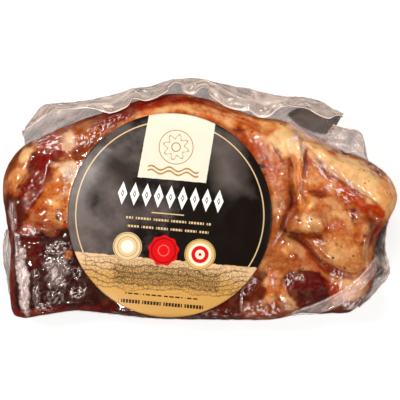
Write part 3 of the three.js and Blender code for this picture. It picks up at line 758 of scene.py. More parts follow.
# Rounded lumps, and with a negative rise hollows: name, centre, radii, rise
MOUNDS = [
    Mound("dome of the roll", (39.4, 5.9), (4.9, 3.9), 1.4),
    Mound("upper lump of the roll", (32.5, 23.2), (4.9, 3.9), 0.9),
    Mound("lump beside the ridges", (42.4, 16.3), (3.4, 4.4), 0.8),
    Mound("red dome in the block", (-82.8, -26.1), (5.4, 8.4), 1.4),
    Mound("lower lump of the block", (-69, -34), (8.9, 7.9), 0.8),
    Mound("lump at the block's foot", (-59.1, -49.8), (7.9, 4.4), 0.7),
    Mound("left half of the knuckle", (46.8, -11.8), (3.9, 4.4), 0.9),
    Mound("right half of the knuckle", (55.2, -11.3), (5.4, 4.9), 1.2),
    Mound("small lump beside the knuckle", (63.1, -14.3), (3.9, 3.0), 0.8),
    Mound("orange bead", (46.3, -28.6), (2.2, 2.0), 1),
    Mound("first lump of the heel", (31.5, -51.7), (3.4, 2.5), 0.9),
    Mound("second lump of the heel", (26.6, -55.2), (3.4, 2.5), 0.8),
    Mound("third lump of the heel", (39.4, -55.2), (3.9, 2.5), 0.8),
    Mound("upper lump of the left fat", (-66, 13.8), (5.4, 4.4), 0.8),
    Mound("middle lump of the left fat", (-69, 3.4), (5.9, 5.9), 0.7),
    Mound("lower lump of the left fat", (-74.9, -8.4), (7.9, 5.4), 0.9),
    Mound("crown of the left end", (-85.7, 22.7), (4.9, 4.4), 0.8),
    Mound("belly of the left end", (-91.1, 10.3), (5.9, 6.4), 0.9),
    Mound("shoulder lump", (-64, 29.6), (4.4, 5.4), 0.9),
    Mound("second shoulder lump", (-56.2, 25.6), (5.4, 3.9), 0.6),
    Mound("head of the ridges", (44.3, 28.1), (6.9, 4.4), 1),
    Mound("hollow of the flap", (75.4, -7.9), (1.9, 3.4), -1),
    Mound("hollow on the slab", (71.9, 23.6), (2.5, 1.2), -0.8),
    Mound("swelling of the flap", (71.4, -26.1), (8.9, 6.9), 0.8),
    Mound("swelling under the flap", (41.9, -26.1), (6.9, 5.4), 0.7),
    Mound("lump right of the lean", (68, -41.9), (4.4, 5.4), 0.8),
    Mound("corner lump", (71.4, -52.2), (6.9, 3.0), 0.8),
    Mound("pale lump", (44.3, -52.2), (3.4, 4.4), 0.6),
    Mound("amber bead at the label's edge", (-64.3, -28.6), (2.4, 2.8), 1.2),
    Mound("lump under the hem", (39.4, 36.9), (6.9, 3.0), 0.7),
]

# Patches where the film crinkles: name, centre, radii, angle of its streaks, wavelength, stretch,
# height, haze of its folds, haze between them, and how the patch itself leans. The haze is partly painted
# highlight
CRINKLES = [
    Crinkle("rosy patch", (-73.5, 28), (8.5, 5.4), 20, 0.8, 3.6, 0.35, 1, 0.04),
    Crinkle("shoulder", (-64, 28.5), (4.5, 6.5), 80, 1.5, 1.3, 0.35, 0.5, 0.15),
    Crinkle("beside the label's left", (-64.5, 13), (5.4, 6.4), -35, 1.3, 1.4, 0.45, 0.8, 0.16),
    Crinkle("rim of the label's left", (-63.4, 2), (2, 18), 80, 1.3, 1.4, 0.4, 0.3),
    Crinkle("red streak", (-80.8, 7.4), (7.9, 9.9), 60, 1.3, 1, 0.16, 0),
    Crinkle("left fat", (-69, -0.5), (6.9, 9.9), 45, 2.2, 1.2, 0.2, 0),
    Crinkle("left end", (-91, 8), (5, 12), 70, 2.4, 2, 0.2, 0),
    Crinkle("left flank", (-92, -8.5), (2, 9), 84, 1.1, 5, 0.3, 0.5, 0.1, 6),
    Crinkle("heart of the block", (-70, -35.5), (6.4, 8.4), 66, 1.2, 4.4, 0.45, 0.5, 0.14),
    Crinkle("streaks above it", (-70, -24), (10, 3.4), 38, 0.95, 2.6, 0.4, 0.6, 0, 18),
    Crinkle("strokes above the heart", (-60.5, -36.5), (3.4, 3.8), 58, 0.9, 2.6, 0.35, 0.6),
    Crinkle("right of the heart", (-59.5, -45.5), (5.4, 3.2), 32, 0.9, 2.4, 0.4, 0.65, 0, 12),
    Crinkle("top of the stripe", (-89.4, -22.5), (1.5, 7.5), 80, 1, 3, 0.3, 0.8, 0.2, 5),
    Crinkle("stripe down the block", (-86.2, -41.5), (2.7, 16.5), 84, 0.95, 5, 0.35, 1, 0.5, 4),
    Crinkle("beside the stripe", (-80.6, -47.5), (2, 8), 75, 0.9, 3.4, 0.35, 0.4, 0.06),
    Crinkle("middle of the block", (-71, -47.5), (6, 4), 50, 0.9, 2.6, 0.35, 0.25),
    Crinkle("foot of the block", (-76.5, -53.2), (5.4, 2.4), 24, 0.85, 2.4, 0.35, 0.6),
    Crinkle("left of the heart", (-80.5, -37), (3, 3.4), 66, 0.9, 2.8, 0.3, 0.3),
    Crinkle("whole block", (-70, -38), (24, 22), 50, 1.5, 1.5, 0.14, 0.02),
    Crinkle("lean", (54.5, -44), (11, 8), 30, 1.7, 1.8, 0.1, 0.02),
    Crinkle("top of the lean", (48, -38.8), (4.6, 2), 40, 0.85, 2, 0.35, 0.7),
    Crinkle("corner by the fat", (-83.5, -14.8), (4.9, 4), -35, 1.1, 1.8, 0.45, 0.7, 0.05),
    Crinkle("shoulder's edge", (-53.5, 30), (7.9, 4.4), 75, 1.15, 2, 0.4, 0.7, 0, 25),
    Crinkle("red of the arch", (-45.3, 36.9), (12, 3.6), 40, 1.2, 1.5, 0.35, 0.5, 0, 20),
    Crinkle("roll", (35.5, 16.5), (8.4, 14.5), 65, 1.15, 1.2, 0.55, 0.25, 0, 12),
    Crinkle("foot of the roll", (40.5, -1), (4.4, 7.4), 88, 1.4, 2.2, 0.4, 0.2),
    Crinkle("heads", (44, 25), (7, 7.5), 60, 1.5, 2, 0.25, 0.12, 0, 20),
    Crinkle("ridges", (48.8, 13.3), (5.4, 14.7), 86, 1.2, 2.6, 0.35, 0.25),
    Crinkle("slab's foot", (60, 16.2), (3.2, 12.5), -55, 1, 2.6, 0.4, 0.8, 0, 38),
    Crinkle("below the slab", (69.5, 3.4), (10.8, 3.8), -32, 1, 2.6, 0.4, 0.8, 0, -32),
    Crinkle("slab's crest", (72.5, 8), (15.8, 3.6), -58, 1.3, 2.4, 0.3, 0.1, 0, -37),
    Crinkle("right tip", (93.6, 5.4), (3.4, 7.9), 70, 1.3, 1.6, 0.3, 0.3),
    Crinkle("slab's upper edge", (84, 15.5), (8, 2.6), -30, 1.2, 2, 0.3, 0.4, 0, -35),
    Crinkle("veil below the hem's right end", (57, 31), (17, 3.6), -30, 1.5, 3.5, 0.4, 0.6, 0.45, -28),
    Crinkle("knuckle", (53, -9.5), (8.8, 4.9), 80, 1.9, 1.6, 0.24, 0.1),
    Crinkle("knuckle's left", (45.5, -10), (3.4, 5), 70, 1.1, 1.4, 0.2, 0.1),
    Crinkle("beside the knuckle", (66, -14), (4, 3.4), 40, 1.2, 1.4, 0.35, 0.12),
    Crinkle("flap's hole", (77.6, -5.4), (2.4, 2.4), 60, 1.2, 1.5, 0.25, 0.2),
    Crinkle("under the crease", (57.5, -21.5), (5, 2.4), 20, 1.5, 1.3, 0.3, 0.4),
    Crinkle("bead", (36, -39.5), (3.2, 5.4), 80, 1.2, 1.6, 0.22, 0.2),
    Crinkle("lean's left", (43.8, -41.5), (3.4, 5.4), 60, 1.2, 1.3, 0.45, 0.5),
    Crinkle("right of the lean", (68, -40), (5.4, 6), 65, 1.4, 2.2, 0.4, 0.5),
    Crinkle("heel", (31, -54), (11, 4.6), 40, 1.2, 1.3, 0.5, 0.5),
    Crinkle("corner", (75.5, -48.5), (8.4, 5.4), 35, 1.7, 2.5, 0.45, 0.55, 0.15, 30),
    Crinkle("below the label's right", (23.5, -41.5), (5.4, 5.4), 55, 1.1, 1.3, 0.35, 0.55),
    Crinkle("below the label", (-9.9, -56.7), (39.4, 3.0), 5, 1.3, 2, 0.25, 0.3),
]

# Thin pale folds of the film, their paleness partly painted highlight: name, width, strength, path
FILM_LINES = [
    Stroke("from the roll over the flesh", 0.45, 0.5, [(43.6, -5), (41.5, -13.5), (38, -19), (35, -24)]),
    Stroke("down to the heel", 0.4, 0.25, [(22, -40), (20.5, -46), (20.3, -57)]),
    Stroke("white edge of the head", 0.45, 0.85, [(50.8, 29), (51, 20)]),
    Stroke("at the left end's flank", 0.4, 0.4, [(-94, 0), (-92.5, -8), (-91, -18)]),
    Stroke("along the slab's top", 0.6, 0.5, [(58, 30), (66, 26.6), (76, 23.5), (88, 15.5)]),
]

# Broad painted highlights, as milky film where tight film is creased: name, strength, centre, radii, lean
GLINTS = [
    Glint("on the head", 0.95, (46.3, 29.4), (2.6, 1.1), 35),
    Glint("on the knuckle", 0.85, (53.2, -9.5), (0.6, 1.9), 0),
    Glint("left of it", 0.7, (46.8, -9), (0.7, 1.2), 0),
    Glint("on the bead", 0.8, (35.6, -40.5), (0.6, 1.6), 10),
    Glint("under the crease", 0.85, (57, -21), (1.7, 0.6), -8),
    Glint("first of the slab", 0.9, (61.5, 17), (0.8, 3), 40),
    Glint("second of the slab", 0.85, (66.8, 13), (0.7, 2.6), 42),
    Glint("third of the slab", 0.95, (73.8, 8), (0.9, 3.2), 50),
    Glint("fourth of the slab", 0.85, (79.5, 4.2), (0.7, 2.4), 52),
    Glint("at the slab's tip", 0.7, (93, 8.5), (0.5, 2.6), 20),
    Glint("beside the lean", 0.8, (69, -42.2), (0.6, 2.2), -25),
    Glint("on the amber fat", 0.6, (-69, -7), (1.2, 0.8), 20),
    Glint("second on that fat", 0.5, (-72.5, -1.5), (1.2, 0.7), 30),
]

# Double layers of film: name, half width, height, haze, angle of its streaks, path, and painted highlight of
# the edges
FILM_BANDS = [
    Band("across the lower right corner", 2.3, 0.45, 0.3, 35, [
        (89, -30), (77.5, -42.3), (66.5, -50), (58.4, -53.5), (48, -57.3)
    ]),
]
BAND_EDGE_HIGHLIGHT = 0.6

# Peppercorns in plain sight, as places on the front
PEPPER_PLACES = [
    (-69.9, -8.9), (-48.8, 31), (-59.1, 23.2), (30, 16.7), (18.7, 34), (39.9, 36.9), (25.1, 33), (21.2, 40.4),
    (48.3, -10.3), (54.2, -10.3), (74.9, -28.1), (65, -28.6), (70.9, -34), (50.7, -34), (50.2, 19.2),
    (-92.6, 15.8), (-95.1, 3.4), (-64, -4.4), (-66.5, -11.3), (80.8, 14.3),
]

# The shaded pocket between the layers of the folded hem, from the front
POCKET_EDGE = [
    (43.5, 42.5), (51.7, 46.5), (58.1, 45), (64, 42), (69.5, 41.5), (68.5, 37), (65.5, 33.5), (62.8, 31.8),
    (57, 32.5), (50.5, 35), (46, 38.5)
]

# Folds of the crumpled hems: wavelength, times longer than wide, rise, painted highlight of the crests, seed
HEM_FOLDS = [
    Fold(15, 3, 1.3, 0.9, 84),
    Fold(7, 2.4, 0.75, 0.8, 85),
    Fold(3.4, 2, 0.32, 0.6, 86),
]

# Dark folds between them, as painted shade: wavelength, times longer than wide, levels that they start
# and peak at, darkness, seed
HEM_DARK_FOLDS = [(8, 3, 0.5, 0.95, 1, 87), (4, 2.5, 0.6, 0.98, 0.8, 88)]

# How the hems' folds bend: how far, wavelength and seeds, and how far the sheet sinks between them
HEM_BEND = 3.5
HEM_BEND_LENGTH = 14
HEM_BEND_SEEDS = (81, 82, 83)
HEM_DROP = 1.2

# Dark streaks in the folded hem's back layer, and painted highlights on the hems
HEM_LINES = [
    Stroke("first streak", 0.9, 0.8, [(-75, 36), (-70, 38.4), (-64.5, 41)]),
    Stroke("second streak", 0.7, 0.8, [(-72, 34), (-65, 37.4), (-58.5, 40.4)]),
    Stroke("third streak", 0.6, 0.6, [(-85, 31), (-81, 33.4), (-77, 36)]),
]
HEM_GLINTS = [
    Glint("pale streak of the back layer", 0.7, (-67.5, 40.4), (6.5, 0.7), 24),
    Glint("pale patch of the back layer", 0.6, (-81, 36.2), (5, 1.3), 32),
    Glint("second pale patch", 0.5, (-73, 32.4), (4, 0.8), 24),
    Glint("on the arch's left", 1, (-45.3, 45.5), (4, 1), 0),
    Glint("on the arch's top", 0.9, (7.9, 51.2), (1.3, 1.6), 20),
    Glint("on the second flap", 0.9, (78, 30.6), (1.6, 1), 20),
    Glint("fold of the second flap", 0.8, (66.5, 31.5), (0.6, 4.5), 25),
    Glint("second fold of that flap", 0.7, (69.5, 32), (0.5, 3.5), -20),
]

# Soft folds where the label bulges: name, width, height, path
LABEL_CREASES = [
    Path("from the right shoulder", 4, 0.35, [(8.9, 29), (2, 17.2), (-6, 9)]),
    Path("right of the lozenges", 3, 0.3, [(18.2, 12), (19.7, 1.5), (13, -8)]),
    Path("from the left edge", 5, 0.8, [(-60, 29), (-46, 26), (-32, 21), (-22, 14)]),
]

# Seals of the print: centre, radius, colour, teeth round the rim, and rings laid over it, each with its
# radius, width and colour, where a disc is a ring of no radius
SEALS = [
    Seal((-19.3, -17), 7.1, SEAL_CREAM, 0, [
        (6.6, 0.35, SEAL_BROWN), (4.8, 0.3, SEAL_TAN), (0, 6.2, SEAL_PALE)
    ]),
    Seal((-1.5, -17.4), 7.3, SEAL_RED, 9, [(5.9, 0.7, SEAL_DARK_RED), (2.6, 0.5, SEAL_LIGHT_RED)]),
    Seal((16.4, -17.8), 7.6, SEAL_GOLD, 0, [
        (7.2, 0.3, SEAL_BRONZE), (0, 11.2, SEAL_IVORY), (3.3, 1.9, SEAL_RED), (0, 1.6, SEAL_RED)
    ]),
]

rng = np.random.default_rng(7)
gradient_table = rng.normal(size=(256, 3))
gradient_table /= np.linalg.norm(gradient_table, axis=1, keepdims=True)


def linear(colour):
    """An sRGB colour from 0 to 255 as linear light."""
    share = np.asarray(colour, float) / 255
    return np.where(share <= 0.04045, share / 12.92, ((share + 0.055) / 1.055) ** 2.4)


def lerp(start, end, share):
    return start + (end - start) * share


def smoothstep(value, low, high):
    share = np.clip((value - low) / (high - low), 0, 1)
    return share * share * (3 - 2 * share)


def gradient_noise(points, wavelength, seed):
    """Smooth seeded noise from about -1 to 1 at points in space."""
    grid = points / wavelength + 19.7 * seed
    cells = np.floor(grid).astype(np.int64)
    local = grid - cells
    fade = local**3 * (local * (local * 6 - 15) + 10)
    total = np.zeros(len(points))
    for corner in itertools.product((0, 1), repeat=3):
        place = cells + corner
        mixed = place[:, 0] * 73856093 ^ place[:, 1] * 19349663 ^ place[:, 2] * 83492791 ^ seed * 668265263
        mixed ^= mixed >> 15
        gradients = gradient_table[mixed & 255]
        weight = np.prod(np.where(corner, fade, 1 - fade), axis=1)
        total += weight * np.sum(gradients * (local - corner), axis=1)
    return 1.7 * total


def ridged_noise(points, wavelength, seed):
    """Sharp-crested noise: 1 along its crests and 0 between them."""
    return np.clip(1 - 2.2 * np.abs(gradient_noise(points, wavelength, seed)), 0, 1)


def with_height(places, height=0.0):
    """Places on the front as points in space."""
    return np.column_stack([places, np.broadcast_to(height, len(places))])


def curve_through(points, steps, closed=False):
    """A Catmull-Rom curve through points, with the given steps for each span."""
    knots = np.asarray(points, float)
    if closed:
        before, start, end, after = (np.roll(knots, shift, axis=0) for shift in (1, 0, -1, -2))
    else:
        longer = np.vstack([2 * knots[0] - knots[1], knots, 2 * knots[-1] - knots[-2]])
        before, start, end, after = longer[:-3], longer[1:-2], longer[2:-1], longer[3:]
    share = (np.arange(steps) / steps)[None, :, None]
    before, start, end, after = (part[:, None, :] for part in (before, start, end, after))
    leaving, arriving = (end - before) / 2, (after - start) / 2
    squared = 3 * (end - start) - 2 * leaving - arriving
    cubed = 2 * (start - end) + leaving + arriving
    curve = start + leaving * share + squared * share**2 + cubed * share**3
    curve = curve.reshape(-1, knots.shape[1])
    return curve if closed else np.vstack([curve, knots[-1]])


def distance_to_line(places, line):
    nearest = np.full(len(places), np.inf)
    for start, end in zip(line[:-1], line[1:]):
        step = end - start
        along = np.clip((places - start) @ step / max(step @ step, 1e-9), 0, 1)
        nearest = np.minimum(nearest, np.linalg.norm(places - start - along[:, None] * step, axis=1))
    return nearest


def is_inside(places, loop):
    inside = np.zeros(len(places), bool)
    x, y = places.T
    for (ax, ay), (bx, by) in zip(loop, np.roll(loop, -1, axis=0)):
        if ay == by:
            continue
        crosses = ((ay > y) != (by > y)) & (x < ax + (y - ay) / (by - ay) * (bx - ax))
        inside ^= crosses
    return inside


def close_to(places, line, reach):
    """Which places lie in a line's bounding box, widened by a reach."""
    return np.all((places > line.min(axis=0) - reach) & (places < line.max(axis=0) + reach), axis=1)


def depth_inside(places, loop, reach):
    """How deep places lie inside a loop: negative outside it, and -reach where that is further off."""
    depth = np.full(len(places), -float(reach))
    near = close_to(places, loop, reach)
    distance = distance_to_line(places[near], np.vstack([loop, loop[:1]]))
    depth[near] = np.where(is_inside(places[near], loop), distance, np.maximum(-distance, -reach))
    return depth


def turned(offsets, angle):
    """Offsets along and across a direction."""
    turn = math.radians(angle)
    return offsets @ (math.cos(turn), math.sin(turn)), offsets @ (-math.sin(turn), math.cos(turn))


def line_profile(places, path, width):
    """1 along a path, and fading to 0 within about two widths of it."""
    line = curve_through(path, 5)
    near = close_to(places, line, PROFILE_REACH * width)
    profile = np.zeros(len(places))
    profile[near] = np.exp(-((distance_to_line(places[near], line) / width) ** 2))
    return profile


def tapered_profile(places, path, width):
    """The profile of a line that fades out over its last few millimetres."""
    profile = line_profile(places, path, width)
    for end in (path[0], path[-1]):
        profile *= smoothstep(np.linalg.norm(places - end, axis=1), 0, TAPER)
    return profile


def oval_distance(places, oval):
    """Distance from an oval's centre, where 1 is its edge. Its axes are turned by its lean in degrees."""
    along, across = turned(places - oval.centre, oval.lean)
    return np.hypot(along / oval.radii[0], across / oval.radii[1])


def oval_profile(places, oval, low, high):
    """1 within an oval and 0 outside it, with a soft edge between two of its distances."""
    return 1 - smoothstep(oval_distance(places, oval), low, high)


def layered_noise(points, layers):
    """Noise added up over layers, each with its height, wavelength and seed."""
    return sum(height * gradient_noise(points, wavelength, seed) for height, wavelength, seed in layers)


def wandering(places, wanders):
    """Places moved a little by noise, once for each row of amount, wavelength and seed."""
    for amount, wavelength, seed in wanders:
        points = with_height(places)
        shift = [gradient_noise(points, wavelength, seed + axis) for axis in (0, 1)]
        places = places + amount * np.column_stack(shift)
    return places


# The front and the rims, as the solids have them

outline_loop = curve_through(OUTLINE, OUTLINE_STEPS, closed=True)
outline_arms = outline_loop - CENTRE
outline_reach = np.linalg.norm(outline_arms, axis=1)
outline_angles = np.arctan2(outline_arms[:, 1], outline_arms[:, 0])
angle_order = np.argsort(outline_angles)
lobe_loops = [curve_through(lobe.edge, 6, closed=True) for lobe in LOBES]


def roll_over(depth, roll):
    return np.sin(np.clip(depth / roll, 0, 1) * math.pi / 2)


def from_label(places):
    return np.linalg.norm(places - LABEL_CENTRE, axis=1) - LABEL_RADIUS


def front_height(places):
    """Height of the front before its rim turns down."""
    x, y = places.T
    fall = END_FALL * (x / HALF_LENGTH) ** 2 + EDGE_FALL * ((y - CENTRE[1]) / HALF_DEPTH) ** 2
    outside = from_label(places)
    bed = LABEL_LIFT * roll_over(LABEL_MARGIN - outside, LABEL_LIFT_ROLL)
    uneven = wandering(places, LOBE_WANDERS)
    relief = np.zeros(len(places))
    for lobe, loop in zip(LOBES, lobe_loops):
        relief += lobe.rise * roll_over(depth_inside(uneven, loop, 0), lobe.roll)
    for groove in GROOVES:
        relief -= groove.depth * line_profile(uneven, groove.path, groove.width)
    return FRONT_HEIGHT - fall + bed + smoothstep(outside, 0, LABEL_MARGIN) * relief


def rim_width(y):
    return lerp(CUT_RIM, ARCH_RIM, smoothstep(y, -56, 10))


def side_dent(places, height, share):
    x, y = places.T
    ripple = np.sin(x * 0.09 + height * 0.11) * np.sin(y * 0.13 - height * 0.17 + 1)
    return SIDE_DENT * (0.5 + 0.5 * ripple) * math.sin(share * math.pi)


def inset_places(inset):
    """The outline's points moved towards the centre."""
    return CENTRE + outline_arms * (1 - inset / outline_reach)[:, None]


def rim_arc(share):
    """How far in and how far up a rounded rim is at a share of its quarter turn."""
    angle = share * math.pi / 2
    return 1 - np.sin(angle) ** ROUNDNESS, np.cos(angle) ** ROUNDNESS


def even_shares(count, width, height):
    """Shares of a rim's quarter turn whose points lie evenly along its section."""
    fine = np.linspace(0, 1, 500)
    inward, upward = rim_arc(fine)
    lengths = np.hypot(np.diff(inward * width), np.diff(upward * height))
    along = np.concatenate([[0], np.cumsum(lengths)])
    return np.interp(np.linspace(0, along[-1], count + 1), along, fine)


def front_arc_row(share):
    inward, upward = rim_arc(share)
    inset = rim_width(outline_loop[:, 1]) * inward
    height = lerp(WAIST_HEIGHT, front_height(inset_places(inset)), upward)
    return with_height(inset_places(inset + side_dent(outline_loop, height, share)), height)


def back_arc_row(share):
    inward, upward = rim_arc(1 - share)
    height = np.full(len(outline_loop), WAIST_HEIGHT * (1 - upward))
    inset = rim_width(outline_loop[:, 1]) * BACK_RIM_SHARE * inward
    return with_height(inset_places(inset + side_dent(outline_loop, height, share)), height)


def from_centre(places):
    """How far the outline and each place lie from the centre, and how wide the rim is in that direction."""
    arms = places - CENTRE
    angle = np.arctan2(arms[:, 1], arms[:, 0])
    reach = np.interp(angle, outline_angles[angle_order], outline_reach[angle_order], period=2 * math.pi)
    return reach, np.linalg.norm(arms, axis=1), rim_width(CENTRE[1] + reach * np.sin(angle))


def skin_height(places):
    """Height of the finished front with its rim, and 0 outside the outline."""
    reach, distance, rim = from_centre(places)
    inset = reach - distance
    share = np.clip(1 - inset / rim, 0, 1)
    upward = np.sqrt(1 - share ** (2 / ROUNDNESS)) ** ROUNDNESS
    return np.where(inset < 0, 0, lerp(WAIST_HEIGHT, front_height(places), upward))


# Meshes

def hex_lattice(spacing, low, high):
    """A triangular lattice of places, each a little out of place."""
    columns = np.arange(low[0], high[0], spacing)
    rows = np.arange(low[1], high[1], spacing * math.sqrt(3) / 2)
    x, y = np.meshgrid(columns, rows)
    x[1::2] += spacing / 2
    places = np.column_stack([x.ravel(), y.ravel()])
    return places + rng.uniform(-0.12, 0.12, places.shape) * spacing


def patch_triangles(border, places):
    """Triangles of a flat patch inside a border, whose points are numbered before the places."""
    corners = [Vector(place) for place in np.vstack([border, places])]
    count = len(border)
    edges = [(k, (k + 1) % count) for k in range(count)]
    _, _, faces, sources, _, _ = delaunay_2d_cdt(corners, edges, [], 1, 1e-6)
    first_source = np.array([source[0] for source in sources])
    return first_source[np.array(faces)]


def grid_triangles(rows, columns, wraps=False, first=0):
    """Triangles over a grid of points that are numbered row by row."""
    across = np.arange(columns if wraps else columns - 1)
    down = np.arange(rows - 1)[:, None] * columns + first
    a = down + across
    b = a + columns
    d = down + (across + 1) % columns
    c = d + columns
    lower = np.stack([a, b, c], axis=-1).reshape(-1, 3)
    upper = np.stack([a, c, d], axis=-1).reshape(-1, 3)
    return np.vstack([lower, upper])


def vertex_normals(points, triangles):
    a, b, c = (points[triangles[:, corner]] for corner in range(3))
    faces = np.cross(b - a, c - a)
    normals = np.zeros_like(points)
    for corner in range(3):
        for axis in range(3):
            normals[:, axis] += np.bincount(triangles[:, corner], faces[:, axis], len(points))
    return normals / np.maximum(np.linalg.norm(normals, axis=1, keepdims=True), 1e-12)


def border_distance(places, rim_share):
    """Distance towards the centre from the inner border of a rim."""
    reach, distance, rim = from_centre(places)
    return reach - rim_share * rim - distance


def skin_surface():
    """The skin as the solids have it: its points and its triangles."""
    front_shares = even_shares(FRONT_ROWS, ARCH_RIM, FRONT_HEIGHT - WAIST_HEIGHT)
    back_shares = 1 - even_shares(BACK_ROWS, ARCH_RIM * BACK_RIM_SHARE, WAIST_HEIGHT)[::-1]
    rows = [front_arc_row(share) for share in front_shares]
    rows += [back_arc_row(share) for share in back_shares[1:]]
    columns = len(outline_loop)

    low, high = outline_loop.min(axis=0), outline_loop.max(axis=0)
    fine = hex_lattice(FRONT_SPACING, low, high)
    fine = fine[(border_distance(fine, 1) > FRONT_PATCH_MARGIN) & (from_label(fine) > -FINE_REACH)]
    covered = hex_lattice(COVERED_SPACING, low, high)
    covered = covered[from_label(covered) <= -COVERED_START]
    front = np.vstack([fine, covered])
    back = hex_lattice(BACK_SPACING, low, high)
    back = back[border_distance(back, BACK_RIM_SHARE) > BACK_PATCH_MARGIN]

    front_triangles = patch_triangles(rows[0][:, :2], front)
    back_triangles = patch_triangles(rows[-1][:, :2], back)[:, ::-1]
    points = np.vstack([*rows, with_height(front, front_height(front)), with_height(back)])
    last_row = (len(rows) - 1) * columns

    # A patch's own border comes first, and is the first or the last row of the sides
    front_triangles += np.where(front_triangles < columns, 0, last_row)
    back_triangles += np.where(back_triangles < columns, last_row, last_row + len(front))
    sides = grid_triangles(len(rows), columns, wraps=True)
    return points, np.vstack([sides, front_triangles, back_triangles])


# Relief of the meat and of the film over it

def shown_front(points):
    """1 on the bare front, and 0 under the label and towards the back."""
    return smoothstep(from_label(points[:, :2]), *LABEL_FADE) * smoothstep(points[:, 2], *SIDE_FADE)


def features_relief(places, crease_share):
    """Relief of the front's lumps, creases and ridges, with a share of the creases' depth."""
    relief = np.zeros(len(places))
    for mound in MOUNDS:
        relief += mound.rise * oval_profile(places, mound, 0.15, 1.1)
    for crease in CREASES:
        relief -= crease_share * crease.height * tapered_profile(places, crease.path, crease.width)
    for ridge in RIDGES:
        relief += ridge.height * tapered_profile(places, ridge.path, ridge.width)
    return relief


def meat_relief(points):
    """How far the meat lies over the CAD skin, along its normals."""
    features = features_relief(wandering(points[:, :2], FEATURE_WANDERS), 1)
    shown = shown_front(points)
    calm = lerp(LABEL_CALM, 1, np.maximum(shown, 1 - smoothstep(points[:, 2], *LABEL_LEVELS)))
    return -MEAT_DEPTH + shown * features + calm * layered_noise(points, MEAT_NOISE)


def crinkle_field(points, crinkle, seed):
    """One crinkled patch of film: its relief, its strength and its flat places, in widths of a streak."""
    offset = points[:, :2] - crinkle.centre
    spread = oval_distance(points[:, :2], crinkle)
    height = np.zeros(len(points))
    strength = np.zeros(len(points))
    flow = np.zeros((len(points), 3))
    near = spread < CRINKLE_REACH
    part = points[near]
    edge = spread[near]
    for amount, wavelength in CRINKLE_RAGGED:
        edge = edge + amount * gradient_noise(part, wavelength, seed)
    strength[near] = 1 - smoothstep(edge, *CRINKLE_EDGE)
    along, across = turned(offset[near], crinkle.angle)
    bend = crinkle.wavelength * gradient_noise(part, BEND_LENGTH * crinkle.wavelength, seed + 1)
    streaks = np.column_stack([along / crinkle.stretch, across + bend, part[:, 2]])
    folds = ridged_noise(streaks, crinkle.wavelength * FOLD_LENGTH, seed + 2) ** FOLD_SHARPNESS
    small = ridged_noise(streaks, crinkle.wavelength * SMALL_FOLD_LENGTH, seed + 3)
    pebbles = gradient_noise(streaks, crinkle.wavelength * PEBBLE_LENGTH, seed + 4)
    rise = FOLD_HEIGHT * folds + SMALL_FOLD_HEIGHT * small + PEBBLE_HEIGHT * pebbles - CRINKLE_DROP
    height[near] = strength[near] * crinkle.height * rise
    flow[near] = streaks / crinkle.wavelength + (0, 0, seed)
    return height, strength, flow


def crinkled_film(points):
    """The crinkled patches' relief, haze between folds, haze of folds, crumpling, and flat places."""
    relief, veil, strokes, crumpled = np.zeros((4, len(points)))
    leading = np.full(len(points), 0.1)
    flow = points / LOOSE_FLOW_LENGTH
    for number, crinkle in enumerate(CRINKLES):
        height, strength, streaks = crinkle_field(points, crinkle, 100 + 5 * number)
        relief += height
        veil = np.maximum(veil, strength * crinkle.veil)
        strokes = np.maximum(strokes, strength * crinkle.haze)
        crumpled = np.maximum(crumpled, strength * crinkle.height)
        leads = strength > leading
        flow[leads] = streaks[leads]
        leading[leads] = strength[leads]
    return relief, veil, strokes, crumpled, flow


def double_film(points, band):
    """The relief and the haze of one band of double film, with a painted highlight along its edges."""
    distance = distance_to_line(points[:, :2], curve_through(band.path, 6))
    distance += layered_noise(points, BAND_WAVER)
    inside = 1 - smoothstep(distance, band.half_width - BAND_SOFTNESS, band.half_width + BAND_SOFTNESS)
    # Painted highlight along the band's edges
    edge = np.exp(-(((distance - band.half_width) / BAND_EDGE_WIDTH) ** 2))
    along, across = turned(points[:, :2], band.angle)
    streaks = gradient_noise(np.column_stack([along / 6, across, points[:, 2]]), 1.6, 46)
    cloudy = band.haze * inside * (1 + 0.6 * streaks)
    return band.height * inside, np.maximum(cloudy, BAND_EDGE_HIGHLIGHT * edge)


